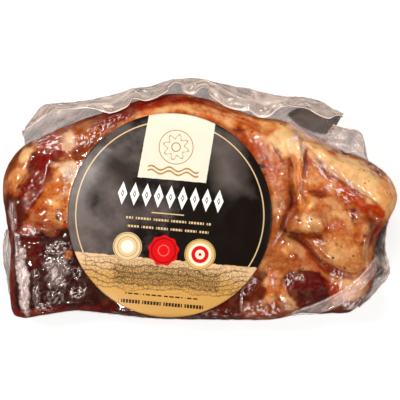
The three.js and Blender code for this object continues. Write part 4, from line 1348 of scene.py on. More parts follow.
def film_relief(points, meat, lightness):
    """How far the film lies over the CAD skin, the film's attributes and its flat places."""
    places = wandering(points[:, :2], FEATURE_WANDERS)
    features = features_relief(places, FILM_CREASE_SHARE)
    for place in PEPPER_PLACES:
        distance = np.linalg.norm(points[:, :2] - place, axis=1)
        features += PEPPER_BUMP * np.exp(-((distance / PEPPER_SPREAD) ** 2))
    folds, veil, strokes, crumpled, flow = crinkled_film(points)
    for band in FILM_BANDS:
        height, haze = double_film(points, band)
        folds += height
        veil = np.maximum(veil, haze)
    # Pale folds, partly painted highlight
    for line in FILM_LINES:
        veil = np.maximum(veil, line.strength * tapered_profile(places, line.path, line.width))
    ragged = wandering(places, GLINT_WANDERS)
    # Painted highlights, as milky patches of the film
    for glint in GLINTS:
        veil = np.maximum(veil, glint.strength * oval_profile(ragged, glint, 0.6, 1.15))

    tight = lerp(FINE_OVER_DARK, FINE_OVER_FAT, smoothstep(lightness, *DARK_TO_FAT))
    fine = sum(height * ridged_noise(points, wavelength, seed) for height, wavelength, seed in FINE_FOLDS)
    uneven = layered_noise(points, FILM_SWELL) + tight * fine + layered_noise(points, FILM_GRAIN)
    uneven *= lerp(UNDERSIDE_CALM, 1, smoothstep(points[:, 2], *UNDERSIDE_LEVELS))
    shown = shown_front(points)
    height = shown * (features + folds) + uneven
    height = np.maximum(height, meat + LEAST_GAP)
    under_label = 1 - smoothstep(from_label(points[:, :2]), 0.5, 2.5)
    pressed = np.minimum(height, lerp(height, PRESSED_GAP, under_label))
    height = np.where(points[:, 2] > 20, pressed, height)
    limit = np.where(points[:, 2] < 2, UNDERSIDE_GAP, np.inf)
    values = {"veil": shown * veil, "strokes": shown * strokes, "crumpled": shown * crumpled}
    return np.minimum(height, limit), values, flow


# Colours of the meat

def painted(colours, colour, strength):
    """Colours with one more painted over them, as strongly as each point has it."""
    return lerp(colours, linear(colour), strength[:, None])


def side_colours(points):
    """The layers of the sides and the rind of the back."""
    height = points[:, 2] + layered_noise(points, SIDE_WAVER)
    x, y = points[:, 0], points[:, 1]
    colours = np.tile(linear(RIND), (len(points), 1))
    from_streak = np.abs(height - STREAK_HEIGHT - layered_noise(with_height(points[:, :2]), STREAK_WAVER))
    blotch = gradient_noise(points, 16, 54)
    layers = [
        (SIDE_FAT, smoothstep(height, 1.6, 3.4)),
        (TAN, 0.7 * smoothstep(blotch, -0.1, 0.4) * smoothstep(height, 2.5, 4)),
        (RUST, 1 - smoothstep(from_streak, 1.2, 2.4)),
        (OXBLOOD, 0.8 * (1 - smoothstep(from_streak, 0.4, 1.3))),
        (LEAN, smoothstep(-x, 30, 45) * smoothstep(-y, 8, 20) * smoothstep(height, 4, 7)),
    ]
    for colour, strength in layers:
        colours = painted(colours, colour, strength)
    return colours


def meat_colours(points, normals):
    """The meat's colour at each point and down the sides, with painted shade in creases and where it is
    steep.
    """
    places = wandering(points[:, :2], COLOUR_WANDERS)
    front = np.tile(linear(GLAZE), (len(points), 1))
    for area in AREAS:
        depth = depth_inside(places, curve_through(area.edge, 4, closed=True), area.soft)
        front = painted(front, area.colour, area.strength * smoothstep(depth, -area.soft / 2, area.soft / 2))
    for spot in SPOTS:
        soft = 0.5 * spot.soft / min(spot.radii)
        front = painted(front, spot.colour, spot.strength * oval_profile(places, spot, 1 - soft, 1 + soft))
    folded = wandering(points[:, :2], FEATURE_WANDERS)
    # Painted shade at the bottom of the creases, with darker meat there too
    for crease in CREASES:
        strength = 0.7 * tapered_profile(folded, crease.path, 1.3 * crease.width)
        front *= lerp(1, np.array(CREASE_SHADE_SHARES), strength[:, None])
    for line in LINES:
        front = painted(front, line.colour, line.strength * tapered_profile(folded, line.path, line.width))
    rise = points[:, 2] + 1.5 * gradient_noise(points, 8, 65)
    colours = lerp(side_colours(points), front, smoothstep(rise, *COLOUR_FADE)[:, None])
    # Painted shade: darker where the surface is steep
    steep = 1 - smoothstep(normals[:, 2] + 0.15 * gradient_noise(points, 6, 66), 0, 0.6)
    return colours * lerp(1, np.array(STEEP_SHADE_SHARES), (steep * (normals[:, 2] > -0.5))[:, None])


# Materials

class Wire:
    """A number in a node tree, worked out by Math nodes."""

    def __init__(self, tree, socket):
        self.tree = tree
        self.socket = socket

    def math(self, operation, *others, clamp=False):
        node = self.tree.nodes.new("ShaderNodeMath")
        node.operation = operation
        node.use_clamp = clamp
        for slot, value in enumerate((self, *others)):
            if isinstance(value, Wire):
                self.tree.links.new(value.socket, node.inputs[slot])
            else:
                node.inputs[slot].default_value = value
        return Wire(self.tree, node.outputs[0])

    def __add__(self, other):
        return self.math("ADD", other)

    def __sub__(self, other):
        return self.math("SUBTRACT", other)

    def __mul__(self, other):
        return self.math("MULTIPLY", other)

    def __neg__(self):
        return self.math("MULTIPLY", -1.0)

    def __abs__(self):
        return self.math("ABSOLUTE")

    def least(self, other):
        return self.math("MINIMUM", other)

    def most(self, other):
        return self.math("MAXIMUM", other)

    def mask(self, soft):
        """0 where the depth is negative and 1 where it is positive, with a soft edge."""
        return (self * (1 / soft)).math("ADD", 0.5, clamp=True)


def new_material(name):
    material = bpy.data.materials.new(name)
    material.use_nodes = True
    material.node_tree.nodes.clear()
    return material, material.node_tree


def add_node(tree, kind, inputs=None, **settings):
    """A new node with its settings, and its inputs set to values or linked to sockets."""
    node = tree.nodes.new(kind)
    for name, value in settings.items():
        setattr(node, name, value)
    for name, value in (inputs or {}).items():
        if isinstance(value, Wire):
            value = value.socket
        if isinstance(value, bpy.types.NodeSocket):
            tree.links.new(value, node.inputs[name])
        else:
            node.inputs[name].default_value = value
    return node


def noise_socket(tree, coordinates, scale, detail=3, roughness=0.55):
    inputs = {"Vector": coordinates, "Scale": scale, "Detail": detail, "Roughness": roughness}
    return add_node(tree, "ShaderNodeTexNoise", inputs).outputs["Fac"]


def remapped(tree, value, low, high, start, end):
    inputs = {"Value": value, "From Min": low, "From Max": high, "To Min": start, "To Max": end}
    return add_node(tree, "ShaderNodeMapRange", inputs, interpolation_type="SMOOTHSTEP").outputs[0]


def mixed_colour(tree, share, first, second, blend="MIX"):
    node = add_node(tree, "ShaderNodeMix", data_type="RGBA", blend_type=blend)
    for slot, value in ((0, share), (6, first), (7, second)):
        if isinstance(value, Wire):
            value = value.socket
        if isinstance(value, bpy.types.NodeSocket):
            tree.links.new(value, node.inputs[slot])
        elif slot == 0:
            node.inputs[slot].default_value = value
        else:
            node.inputs[slot].default_value = (*linear(value), 1)
    return node.outputs[2]


def shaded(tree, surface):
    """Ends a material with its surface."""
    add_node(tree, "ShaderNodeOutputMaterial", {"Surface": surface})


def principled(tree, inputs):
    return add_node(tree, "ShaderNodeBsdfPrincipled", inputs).outputs[0]


def bumped(tree, strength, distance, height):
    """The normal of a bumpy surface. The distance is in metres."""
    inputs = {"Strength": strength, "Distance": distance, "Height": height}
    return add_node(tree, "ShaderNodeBump", inputs).outputs["Normal"]


def mixed_shader(tree, share, first, second):
    return add_node(tree, "ShaderNodeMixShader", {0: share, 1: first, 2: second}).outputs[0]


def object_coordinates(tree):
    return add_node(tree, "ShaderNodeTexCoord").outputs["Object"]


def attribute(tree, name, output):
    return add_node(tree, "ShaderNodeAttribute", attribute_name=name).outputs[output]


def meat_material():
    """Dried fat and lean: painted colours with mottling, darker blotches, specks and a fine grain."""
    material, tree = new_material("dried_meat")
    place = object_coordinates(tree)
    tint = attribute(tree, "tint", "Color")
    lightness = Wire(tree, add_node(tree, "ShaderNodeRGBToBW", {"Color": tint}).outputs[0])
    calm = remapped(tree, lightness, 0.2, 0.6, 0.0, 0.75)

    def mottling(scale, detail, low, high, most, roughness=0.55):
        """Noise that runs from 0 to its most between two levels."""
        noise = noise_socket(tree, place, scale, detail, roughness)
        return Wire(tree, remapped(tree, noise, low, high, 0.0, most))

    mottled = mixed_colour(tree, mottling(240, 4, 0.3, 0.7, 1.0), MOTTLE_TINT, NO_TINT)
    colour = mixed_colour(tree, 1.0, tint, mottled, "MULTIPLY")
    warm = mixed_colour(tree, mottling(640, 4, 0.36, 0.62, 1.0, 0.65), WARM_TINT, NO_TINT)
    warm = mixed_colour(tree, calm, warm, NO_TINT)
    colour = mixed_colour(tree, 1.0, colour, warm, "MULTIPLY")
    blotch = mottling(130, 5, 0.52, 0.7, 0.75, 0.65) * (Wire(tree, calm) * -0.9 + 1.0)
    stained = mixed_colour(tree, 1.0, colour, STAIN_TINT, "MULTIPLY")
    colour = mixed_colour(tree, blotch, colour, stained)
    fatty = mottling(150, 3, 0.44, 0.72, 1.8, 0.5) * lightness
    colour = mixed_colour(tree, fatty.least(0.7), colour, FATTY_PALE)
    flecks = mottling(380, 3, 0.56, 0.68, 0.5, 0.6) * lightness
    colour = mixed_colour(tree, flecks.least(0.5), colour, FLECK_PALE)
    cells = add_node(tree, "ShaderNodeTexVoronoi", {"Vector": place, "Scale": 330.0})
    dot = Wire(tree, remapped(tree, cells.outputs["Distance"], 0.1, 0.2, 1.0, 0.0))
    dark = mixed_colour(tree, 1.0, colour, SPECK_TINT, "MULTIPLY")
    colour = mixed_colour(tree, mottling(60, 2, 0.48, 0.6, 0.9) * dot, colour, dark)
    shaded(tree, principled(tree, {
        "Base Color": colour,
        "Roughness": remapped(tree, noise_socket(tree, place, 300, 2), 0.3, 0.7, 0.28, 0.4),
        "Normal": bumped(tree, 0.25, 0.0003, noise_socket(tree, place, 900, 3)),
        "Specular IOR Level": 0.03,
        "Subsurface Weight": 0.12,
        "Subsurface Radius": (1.0, 0.45, 0.25),
        "Subsurface Scale": 0.0015,
    }))
    return material


def film_material():
    """Clear film that mirrors by its angle and is milky where crumpled or double; some milk is painted
    highlight.
    """
    material, tree = new_material("clear_film")
    place = object_coordinates(tree)
    flow = attribute(tree, "flow", "Vector")
    crumpled = Wire(tree, attribute(tree, "crumpled", "Fac"))
    normal = bumped(tree, crumpled * 1.3 + 0.06, 0.0005, noise_socket(tree, flow, 0.8, 2))
    fresnel = add_node(tree, "ShaderNodeFresnel", {"IOR": 1.5, "Normal": normal})
    mirrored = (Wire(tree, fresnel.outputs[0]) * 1.1).least(0.09)
    clear = add_node(tree, "ShaderNodeBsdfTransparent", {"Color": (0.99, 0.985, 0.98, 1)})
    gloss = principled(tree, {
        "Base Color": (1, 0.95, 0.88, 1), "Metallic": 1.0, "Roughness": 0.11, "Normal": normal,
    })
    milk = principled(tree, {
        "Base Color": (*linear(MILK), 1), "Roughness": 0.22, "Normal": normal,
    })
    cloudy = remapped(tree, noise_socket(tree, place, 420, 4), 0.3, 0.7, 0.75, 1.15)
    veil = Wire(tree, attribute(tree, "veil", "Fac")) * Wire(tree, cloudy)
    peaks = remapped(tree, noise_socket(tree, flow, 0.95, 2), 0.51, 0.6, 0.0, 1.0)
    strokes = Wire(tree, attribute(tree, "strokes", "Fac")) * Wire(tree, peaks)
    film = mixed_shader(tree, mirrored, clear.outputs[0], gloss)
    shaded(tree, mixed_shader(tree, veil.most(strokes), film, milk))
    return material


def hem_material():
    """Crumpled double film: milky, with soft streaks along it and faint patches."""
    material, tree = new_material("crumpled_film")
    tint = attribute(tree, "tint", "Color")
    sheet = add_node(tree, "ShaderNodeUVMap", uv_map="sheet").outputs[0]

    def along_sheet(length, width, detail):
        """Noise whose streaks have a length and a width in millimetres."""
        scale = (UV_SPAN / length, UV_SPAN / width, 1)
        place = add_node(tree, "ShaderNodeMapping", {"Vector": sheet, "Scale": scale}).outputs[0]
        return noise_socket(tree, place, 1.0, detail)

    streaks = remapped(tree, along_sheet(14, 4, 4), 0.34, 0.66, 0.0, 1.0)
    patches = remapped(tree, along_sheet(9, 6, 2), 0.35, 0.65, 0.0, 0.6)
    shade = mixed_colour(tree, streaks, STREAK_TINT, PALE_STREAK_TINT)
    shade = mixed_colour(tree, patches, shade, PATCH_TINT)
    cover = Wire(tree, attribute(tree, "cover", "Fac"))
    shaded(tree, principled(tree, {
        "Base Color": mixed_colour(tree, 1.0, tint, shade, "MULTIPLY"),
        "Roughness": 0.16,
        "Alpha": cover * Wire(tree, remapped(tree, streaks, 0.0, 1.0, 0.9, 1.0)),
        "Normal": bumped(tree, 0.3, 0.0004, along_sheet(5, 2.6, 3)),
    }))
    return material


def pepper_material():
    """Cracked peppercorns, black with brown grain."""
    material, tree = new_material("pepper")
    grain = noise_socket(tree, object_coordinates(tree), 2500, 4)
    shaded(tree, principled(tree, {
        "Base Color": mixed_colour(tree, grain, PEPPER_BLACK, PEPPER_BROWN),
        "Roughness": 0.5,
        "Normal": bumped(tree, 0.6, 0.0002, grain),
    }))
    return material


# The label's print and its painted sheen: fields of colour and plain ornaments, each laid over those before
# it

def centred(value, half_width):
    """Depth inside a band round 0."""
    return -(abs(value)) + half_width


def ring_depth(distance, radius, width):
    """Depth inside a ring, where distance is that from its middle."""
    return centred(distance - radius, width / 2)


def box_depth(u, v, centre, half_sizes):
    return centred(u - centre[0], half_sizes[0]).least(centred(v - centre[1], half_sizes[1]))


def radius_from(u, v, centre):
    du, dv = u - centre[0], v - centre[1]
    return (du * du + dv * dv).math("SQRT")


def repeated(u, pitch, start):
    """Place within each cell of a row, from minus to plus half a pitch."""
    cells = (u - start) * (1 / pitch)
    return (cells - cells.math("FLOOR") - 0.5) * pitch


def lay_painted_sheen(lay, u, v, cloud):
    """Painted sheen: slate clouds of reflection, thickest at the left, a darker band and a pale band right of
    the panel.
    """
    lay(u * -0.026 + cloud * 5.0 - 0.62, PAINTED_SHEEN, 1.3)
    dark_sheen = centred(u * 0.5 + v * 0.87 - 5.5 + cloud * 8.0, 5.0)
    lay(dark_sheen.least(-u - 20.0) * 0.2, PAINTED_DARK_SHEEN, 1.2)
    pale_sheen = centred(u * 0.8 + v * 0.35 - 29.0, 7.0).least(centred(v - 27.0, 13.0))
    lay(pale_sheen * 0.12 + cloud * 2.0 - 0.2, PAINTED_SHEEN, 1.5)


def lay_panel(lay, u, v, warp):
    """A cream panel with a rosette over a double wave."""
    left = u - (v * 0.092 - 18.9)
    right = -(u - (v * 0.072 + 15.05))
    lay(left.least(right).least(v - 17.3) + warp * 0.5, PANEL_CREAM)
    petal = (v - ROSETTE[1]).math("ARCTAN2", u - ROSETTE[0]) * 8.0
    around = radius_from(u, v, ROSETTE)
    lay(ring_depth(around + petal.math("SINE") * 1.1, 5.2, 0.5), BRONZE)
    lay(ring_depth(around, 2.1, 0.5), BRONZE)
    lay(ring_depth(around, 8.3, 0.4), BRONZE)
    wave = (u * 0.72).math("SINE") * 0.9
    for height in WAVE_HEIGHTS:
        lay(centred(v - height + wave, 0.42).least(centred(u + 0.2, 12.5)), BRONZE)


def lay_middle(lay, u, v):
    """A row of outlined lozenges across the middle, and a rule and rows of dashes below it."""
    half_width, half_height = LOZENGE_HALF_SIZES
    cell = repeated(u, LOZENGE_PITCH, -26.85)
    slant = abs(cell) * (1 / half_width) + abs(v - LOZENGE_HEIGHT) * (1 / half_height)
    row = centred(u + 0.3, 26.5)
    lay((-(abs(slant - 0.66)) * half_width + 0.78).least(row), WHITE)
    lay(((-slant + 0.16) * half_width).least(row), WHITE)
    lay(box_depth(u, v, (-1.05, 0.65), (7.95, 0.27)), GOLD)
    for height, row_half_width, group in DASH_ROWS:
        dash = centred(repeated(u, 1.45, 0.3), 0.5).least(centred(repeated(u, group, 0.3), group / 2 - 0.7))
        lay(dash.least(box_depth(u, v, (-0.4, height), (row_half_width, 0.55))), GOLD)


def lay_field(lay, u, v, warp, cloud, web):
    """A gold field with engraved contour lines, a web of fine ones, and dark bars."""
    field = -v + FIELD_TOP + warp * 1.2
    lay(field, PANEL_SAND)
    lay(field.least(-v - 29.0 + cloud * 6.0), PANEL_GOLD, 7.0)
    sketched = centred(v + 30.0 + cloud * 8.0, 6.5).least(centred(u, 40.0))
    dense = centred(v + 30.0 + cloud * 6.0, 4.5).least(centred(u - 1.0, 26.0))
    lay(dense * 0.1 - 0.1, DENSE_GOLD, 0.9)
    lay(((v * 2.4 + cloud * 34.0).math("SINE") - 0.86).least(sketched * 0.1), ENGRAVING, 0.5)
    for scale, width, region in ((520.0, 0.03, sketched), (950.0, 0.08, dense)):
        lay((-web(scale) + width).least(region * 0.1), ENGRAVING, 0.1)
    for height, half_width, half_height, pitch in BAR_ROWS:
        bar = box_depth(u, v, (-0.5, height), (half_width, half_height))
        gaps = centred(repeated(u, pitch, 0.0), 0.38 * pitch).least(centred(repeated(u, 10.4, 0.0), 4.6))
        lay(bar.least(gaps), BAR_BROWN)


def lay_seals(lay, u, v):
    """Round seals of plain rings, the middle one with a toothed rim."""
    for seal in SEALS:
        around = radius_from(u, v, seal.centre)
        disc = -(around - seal.radius)
        if seal.teeth:
            turning = (v - seal.centre[1]).math("ARCTAN2", u - seal.centre[0])
            disc += (turning * seal.teeth).math("SINE") * 0.35
        lay(disc, seal.colour)
        for radius, width, colour in seal.rings:
            lay(ring_depth(around, radius, width), colour)


def label_print(tree, u, v, place):
    """The colour of the label's print and its painted sheen at u across and v up."""
    print_colour = CHARCOAL
    warp = Wire(tree, noise_socket(tree, place, 500, 2)) - 0.5
    cloud = Wire(tree, noise_socket(tree, place, 42, 4, 0.6)) - 0.5

    def lay(depth, colour, soft=PRINT_EDGE):
        nonlocal print_colour
        print_colour = mixed_colour(tree, depth.mask(soft), print_colour, colour)

    def web(scale):
        """Distance from the lines of a web."""
        inputs = {"Vector": place, "Scale": scale}
        cells = add_node(tree, "ShaderNodeTexVoronoi", inputs, feature="DISTANCE_TO_EDGE")
        return Wire(tree, cells.outputs["Distance"])

    lay_painted_sheen(lay, u, v, cloud)
    ring = ring_depth(radius_from(u, v, (0, 0)), RING_RADIUS, RING_WIDTH)
    lay(ring.least(v - FIELD_TOP), GOLD)
    lay_panel(lay, u, v, warp)
    lay_middle(lay, u, v)
    lay_field(lay, u, v, warp, cloud, web)
    lay_seals(lay, u, v)
    return print_colour


def label_material():
    """Coated paper with its print and a painted sheen, a satin finish and a fine unevenness."""
    material, tree = new_material("label_paper")
    place = object_coordinates(tree)
    print_map = add_node(tree, "ShaderNodeUVMap", uv_map="print")
    axes = add_node(tree, "ShaderNodeSeparateXYZ", {0: print_map.outputs[0]})
    u, v = (Wire(tree, axes.outputs[axis]) * (2.0 * LABEL_RADIUS) - LABEL_RADIUS for axis in (0, 1))
    shaded(tree, principled(tree, {
        "Base Color": label_print(tree, u, v, place),
        "Roughness": remapped(tree, noise_socket(tree, place, 110, 2), 0.3, 0.7, 0.3, 0.36),
        "Specular IOR Level": 0.22,
        "Normal": bumped(tree, 0.1, 0.0004, noise_socket(tree, place, 350, 3)),
    }))
    return material


# Pieces

def new_piece(name, points, triangles, material):
    mesh = bpy.data.meshes.new(name)
    mesh.from_pydata((points * MM).tolist(), [], triangles.tolist())
    mesh.shade_smooth()
    mesh.materials.append(material)
    piece = bpy.data.objects.new(name, mesh)
    bpy.context.scene.collection.objects.link(piece)
    return piece


def set_colours(piece, name, colours):
    channel = piece.data.color_attributes.new(name, "FLOAT_COLOR", "POINT")
    channel.data.foreach_set("color", with_height(colours, 1.0).astype(np.float32).ravel())


def set_values(piece, name, values):
    channel = piece.data.attributes.new(name, "FLOAT", "POINT")
    channel.data.foreach_set("value", np.asarray(values, np.float32))


def set_vectors(piece, name, vectors):
    channel = piece.data.attributes.new(name, "FLOAT_VECTOR", "POINT")
    channel.data.foreach_set("vector", vectors.astype(np.float32).ravel())


def set_map(piece, name, places):
    """A UV map, from a place for each corner of each triangle."""
    layer = piece.data.uv_layers.new(name=name)
    layer.data.foreach_set("uv", places.astype(np.float32).ravel())


def closed_sheet(grid, thickness, wraps=False):
    """A thin closed solid on both sides of a grid of points: its points and triangles."""
    rows, columns = grid.shape[:2]
    middle = grid.reshape(-1, 3)
    triangles = grid_triangles(rows, columns, wraps)
    normals = vertex_normals(middle, triangles)
    count = len(middle)
    points = np.vstack([middle + normals * thickness / 2, middle - normals * thickness / 2])
    last = (rows - 1) * columns
    ends = [np.arange(last, last + columns), np.arange(columns)[::-1]]
    if not wraps:
        sides = np.arange(rows) * columns
        ends += [sides[::-1] + columns - 1, sides]
    parts = [triangles, triangles[:, ::-1] + count]
    for line in ends:
        line = np.append(line, line[0]) if wraps else line
        start, end = line[:-1], line[1:]
        parts.append(np.stack([start, start + count, end + count], axis=1))
        parts.append(np.stack([start, end + count, end], axis=1))
    return points, np.vstack(parts)


def crumple(flat):
    """The height of a crumpled sheet, how near a crest each point is, and how near a dark fold."""
    bend = [gradient_noise(flat, HEM_BEND_LENGTH, seed) for seed in HEM_BEND_SEEDS]
    warped = flat + HEM_BEND * np.column_stack(bend)
    height, crest, dark = np.zeros((3, len(flat)))
    for wavelength, stretch, rise, paleness, seed in HEM_FOLDS:
        folds = ridged_noise(warped / (stretch, 1, 1), wavelength, seed)
        height += rise * folds
        crest = np.maximum(crest, paleness * smoothstep(folds, 0.72, 0.98))
    for wavelength, stretch, start, peak, darkness, seed in HEM_DARK_FOLDS:
        folds = ridged_noise(warped / (stretch, 1, 1), wavelength, seed)
        dark = np.maximum(dark, darkness * smoothstep(folds, start, peak))
    return height - HEM_DROP, crest, dark


def hem_grid(hem, number):
    """The crumpled middle surface of a hem, as rows from its root outwards, its flat places and its folds."""
    share = np.linspace(0, 1, (len(hem.root) - 1) * HEM_STEPS + 1)
    roots, rims = curve_through(hem.root, HEM_STEPS), curve_through(hem.rim, HEM_STEPS)
    ripple = hem.wave * np.sin(share * hem.waves * 2 * math.pi) * np.sin(share * math.pi)
    belly = lerp(hem.root_height, hem.rim_height, 0.35) + ripple / 2
    section = [
        with_height(roots, hem.root_height),
        with_height(lerp(roots, rims, 0.6), belly),
        with_height(rims, hem.rim_height + ripple),
    ]
    if hem.edge:
        x, y = curve_through(hem.edge, 6).T
        edges = np.column_stack([rims[:, 0], np.interp(rims[:, 0], np.maximum.accumulate(x), y)])
        over = np.maximum(FOLD_LEAST_HEIGHT, skin_height(edges) + HEM_CLEARANCE)
        section.append(with_height(lerp(rims, edges, 0.4), lerp(hem.rim_height + ripple, over, 0.6)))
        section.append(with_height(edges, over))
    steps = HEM_ROWS // (len(section) - 1)
    knots = np.array(section).reshape(len(section), -1)
    grid = curve_through(knots, steps).reshape(-1, len(share), 3)
    rows, columns = grid.shape[:2]

    length = np.linalg.norm(np.diff(rims, axis=0), axis=1).sum()
    along = np.tile(share * length, (rows, 1)).ravel()
    across = np.repeat(np.linspace(0, 1, rows) * HEM_WIDTH, columns)
    height, crest, dark = crumple(np.column_stack([along, across, np.full(along.size, 31.0 * number)]))
    row_share = np.linspace(0, 1, rows)
    free = smoothstep(row_share, 0.05, 0.3)
    if hem.edge:
        free *= 1 - 0.6 * smoothstep(row_share, 0.85, 1)
    middle = grid.reshape(-1, 3)
    normals = vertex_normals(middle, grid_triangles(rows, columns))
    crumpled = middle + normals * (np.repeat(free, columns) * height)[:, None]
    return crumpled.reshape(grid.shape), np.column_stack([along, across]), crest, dark


def hem_colours(grid, crest, dark, hem):
    """A hem's colour and cover: painted highlights on crests, edge and glints, painted shade in folds and
    pocket.
    """
    rows, columns = grid.shape[:2]
    points = grid.reshape(-1, 3)
    row_share = np.repeat(np.linspace(0, 1, rows), columns)
    steep = 1 - np.abs(vertex_normals(points, grid_triangles(rows, columns))[:, 2])
    colours = np.tile(linear(HEM_GREY), (len(points), 1))
    cover = np.full(len(points), 0.55)
    broad = smoothstep(gradient_noise(points * (0.4, 1, 1), 7, 91), -0.3, 0.5)
    layers = [
        (HEM_DARK_AND_SHADE, np.minimum(hem.shade * (0.7 + 0.5 * broad), 1), 0.9),
        # Painted shade in the dark folds and on the steep parts
        (HEM_DARK_AND_SHADE, 0.5 * dark, 0.7),
        (HEM_DARK_AND_SHADE, 0.4 * smoothstep(steep, 0.25, 0.8), 0.8),
    ]
    places = points[:, :2]
    under = 1 - smoothstep(row_share, 0.46, 0.52)
    if hem.edge:
        # Painted shade along the outer fold
        fold = np.exp(-(((row_share - 0.5) / 0.03) ** 2))
        layers.append((HEM_DARK_AND_SHADE, 0.6 * fold, 0.85))
        for line in HEM_LINES:
            streak = line.strength * tapered_profile(places, line.path, line.width)
            layers.append((HEM_DARK_AND_SHADE, under * streak, 0.85))
    # Painted highlights on the crests and along the cut edge
    layers += [(HEM_PALE_HIGHLIGHT, 0.8 * crest, 0.9), (HEM_PALE_HIGHLIGHT, smoothstep(row_share, 0.95, 0.975), 1)]
    if hem.edge:
        depth = depth_inside(places, curve_through(POCKET_EDGE, 4, closed=True), 2)
        layers.append((POCKET, 0.9 * under * smoothstep(depth, -0.6, 0.8), 0.95))
    # Painted highlights
    for glint in HEM_GLINTS:
        layers.append((HEM_PALE_HIGHLIGHT, glint.strength * oval_profile(places, glint, 0.5, 1.1), 1))
    for colour, strength, layer_cover in layers:
        colours = painted(colours, colour, strength)
        cover = np.maximum(cover, layer_cover * strength)
    return colours, cover


def film_hem():
    """The bag's loose hems, one piece."""
    points, triangles, colours, covers, sheets = [], [], [], [], []
    for number, hem in enumerate(HEMS):
        grid, sheet, crest, dark = hem_grid(hem, number)
        hem_points, hem_triangles = closed_sheet(grid, HEM_THICKNESS)
        tint, cover = hem_colours(grid, crest, dark, hem)
        triangles.append(hem_triangles + sum(len(part) for part in points))
        points.append(hem_points)
        colours += [tint, tint]
        covers += [cover, cover]
        sheets += [sheet / UV_SPAN, sheet / UV_SPAN]
    triangles = np.vstack(triangles)
    piece = new_piece("film_hem", np.vstack(points), triangles, hem_material())
    set_colours(piece, "tint", np.vstack(colours))
    set_values(piece, "cover", np.concatenate(covers))
    set_map(piece, "sheet", np.vstack(sheets)[triangles.ravel()])
    return piece


def label_sheet():
    """A round paper label, draped over the film, with its print map."""
    rings = np.linspace(0, 1, LABEL_RINGS) ** 0.8
    angles = np.arange(LABEL_COLUMNS) / LABEL_COLUMNS * 2 * math.pi
    spokes = np.column_stack([np.cos(angles), np.sin(angles)])
    places = (rings[:, None, None] * LABEL_RADIUS * spokes[None]).reshape(-1, 2) + LABEL_CENTRE
    points = with_height(places)
    height = skin_height(places) + LABEL_GAP + LABEL_THICKNESS / 2
    swell = LABEL_SWELL * (gradient_noise(points, 24, 95) + 0.3)
    height += swell + LABEL_GRAIN * gradient_noise(points, 6, 96)
    for crease in LABEL_CREASES:
        height += crease.height * line_profile(places, crease.path, crease.width)
    grid = with_height(places, height).reshape(LABEL_RINGS, LABEL_COLUMNS, 3)
    sheet_points, triangles = closed_sheet(grid, LABEL_THICKNESS, wraps=True)
    piece = new_piece("label_sheet", sheet_points, triangles, label_material())
    offset = sheet_points[:, :2] - LABEL_CENTRE
    print_places = np.column_stack(turned(offset, LABEL_TURN)) / (2 * LABEL_RADIUS) + 0.5
    set_map(piece, "print", print_places[triangles.ravel()])
    return piece


def pepper_grains(surface_points, surface_normals):
    """Small flattened grains, sunk half into the meat at the places listed."""
    tree = KDTree(len(surface_points))
    for number, point in enumerate(surface_points):
        tree.insert(point, number)
    tree.balance()
    longitudes = np.arange(PEPPER_SIDES) / PEPPER_SIDES * 2 * math.pi
    ball = [(0, 0, 1)]
    for latitude in (0.25, 0, -0.25):
        flat = math.cos(latitude * math.pi)
        ball += [(flat * math.cos(a), flat * math.sin(a), math.sin(latitude * math.pi)) for a in longitudes]
    ball = np.array(ball + [(0, 0, -1)])
    last = len(ball) - 1
    lowest = last - PEPPER_SIDES
    turns = [(k, (k + 1) % PEPPER_SIDES) for k in range(PEPPER_SIDES)]
    caps = [(0, 1 + start, 1 + end) for start, end in turns]
    caps += [(last, lowest + end, lowest + start) for start, end in turns]
    faces = np.vstack([caps, grid_triangles(3, PEPPER_SIDES, wraps=True, first=1)])
    points, triangles = [], []
    for number, place in enumerate(PEPPER_PLACES):
        height = skin_height(np.array([place], float))[0]
        _, nearest, _ = tree.find((*place, height))
        centre, normal = surface_points[nearest], surface_normals[nearest]
        side = np.cross(normal, rng.normal(size=3))
        side /= np.linalg.norm(side)
        size = rng.uniform(*PEPPER_SIZES)
        across = np.cross(normal, side) * size * rng.uniform(0.7, 1)
        axes = np.array([side * size, across, normal * PEPPER_HEIGHT])
        rough = ball * rng.uniform(0.8, 1.15, (len(ball), 1))
        points.append(centre + rough @ axes)
        triangles.append(faces + number * len(ball))
    return new_piece("pepper", np.vstack(points), np.vstack(triangles), pepper_material())


base_points, skin_triangles = skin_surface()
base_normals = vertex_normals(base_points, skin_triangles)
meat_height = meat_relief(base_points)
meat_tints = meat_colours(base_points, base_normals)
lightness = meat_tints @ np.array([0.21, 0.72, 0.07])
film_height, film_values, film_flow = film_relief(base_points, meat_height, lightness)

meat_points = base_points + base_normals * meat_height[:, None]
meat = new_piece("guanciale_meat", meat_points, skin_triangles, meat_material())
set_colours(meat, "tint", meat_tints)
film_points = base_points + base_normals * film_height[:, None]
film = new_piece("clear_film", film_points, skin_triangles, film_material())
for name, values in film_values.items():
    set_values(film, name, values)
set_vectors(film, "flow", film_flow)
pepper = pepper_grains(meat_points, vertex_normals(meat_points, skin_triangles))
hem = film_hem()
label = label_sheet()

for piece, slot_name, node in (
    (meat, "meat", "vacuum_pack"),
    (pepper, "meat", "vacuum_pack"),
    (film, "film", "vacuum_pack"),
    (hem, "film", "vacuum_pack"),
    (label, "label", "label"),
):
    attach(piece, "root")
    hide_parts(node)


# Floor, lights and camera

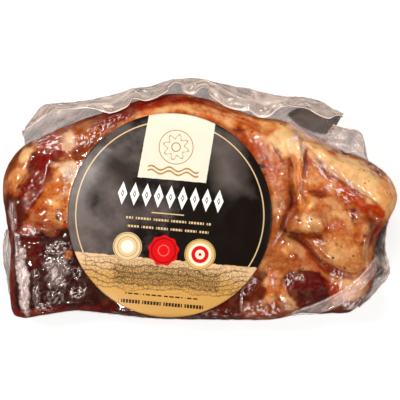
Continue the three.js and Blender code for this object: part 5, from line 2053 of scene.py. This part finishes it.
def plain_floor():
    """A grey floor that glows a little, and isn't mirrored."""
    mesh = bpy.data.meshes.new("floor")
    half = FLOOR_SIZE / 2
    corners = [(-half, -half), (half, -half), (half, half), (-half, half)]
    mesh.from_pydata([(x, y, -FLOOR_DROP) for x, y in corners], [], [(0, 1, 2, 3)])
    floor = bpy.data.objects.new("floor", mesh)
    bpy.context.scene.collection.objects.link(floor)
    material, tree = new_material("floor")
    shaded(tree, principled(tree, {
        "Base Color": FLOOR_GREY,
        "Roughness": 0.9,
        "Emission Color": (1, 1, 1, 1),
        "Emission Strength": FLOOR_GLOW,
    }))
    mesh.materials.append(material)
    floor.visible_glossy = False


def softbox(name, place, size, radiance):
    """A rectangular light that faces the pack."""
    light = bpy.data.lights.new(name, "AREA")
    light.shape = "RECTANGLE"
    light.size, light.size_y = size
    light.energy = radiance * math.pi * size[0] * size[1]
    light.color = WARM_WHITE
    lamp = bpy.data.objects.new(name, light)
    lamp.location = place
    lamp.rotation_euler = (-Vector(place)).to_track_quat("-Z", "Y").to_euler()
    bpy.context.scene.collection.objects.link(lamp)


def place_by_angles(azimuth, off_axis):
    """A light's place over the pack, at an angle off the upright and towards an azimuth from +X."""
    turn, lean = math.radians(azimuth), math.radians(off_axis)
    flat = LIGHT_DISTANCE * math.sin(lean)
    return (flat * math.cos(turn), flat * math.sin(turn), LIGHT_DISTANCE * math.cos(lean))


plain_floor()
for name, azimuth, off_axis, size, radiance in LIGHTS:
    softbox(name, place_by_angles(azimuth, off_axis), size, radiance)

scene = bpy.context.scene
world = bpy.data.worlds.new("studio")
scene.world = world
world.use_nodes = True
background = world.node_tree.nodes["Background"]
background.inputs["Color"].default_value = (*WARM_WHITE, 1)
background.inputs["Strength"].default_value = WORLD_STRENGTH

camera_data = bpy.data.cameras.new("camera")
camera_data.lens = LENS
camera_data.sensor_width = SENSOR
camera = bpy.data.objects.new("camera", camera_data)
camera.location = (*FRAME_MIDDLE, FRONT_PLANE + FRAME_WIDTH * LENS / SENSOR)
scene.collection.objects.link(camera)
scene.camera = camera
scene.view_settings.view_transform = "Standard"

bpy.context.view_layer.update()
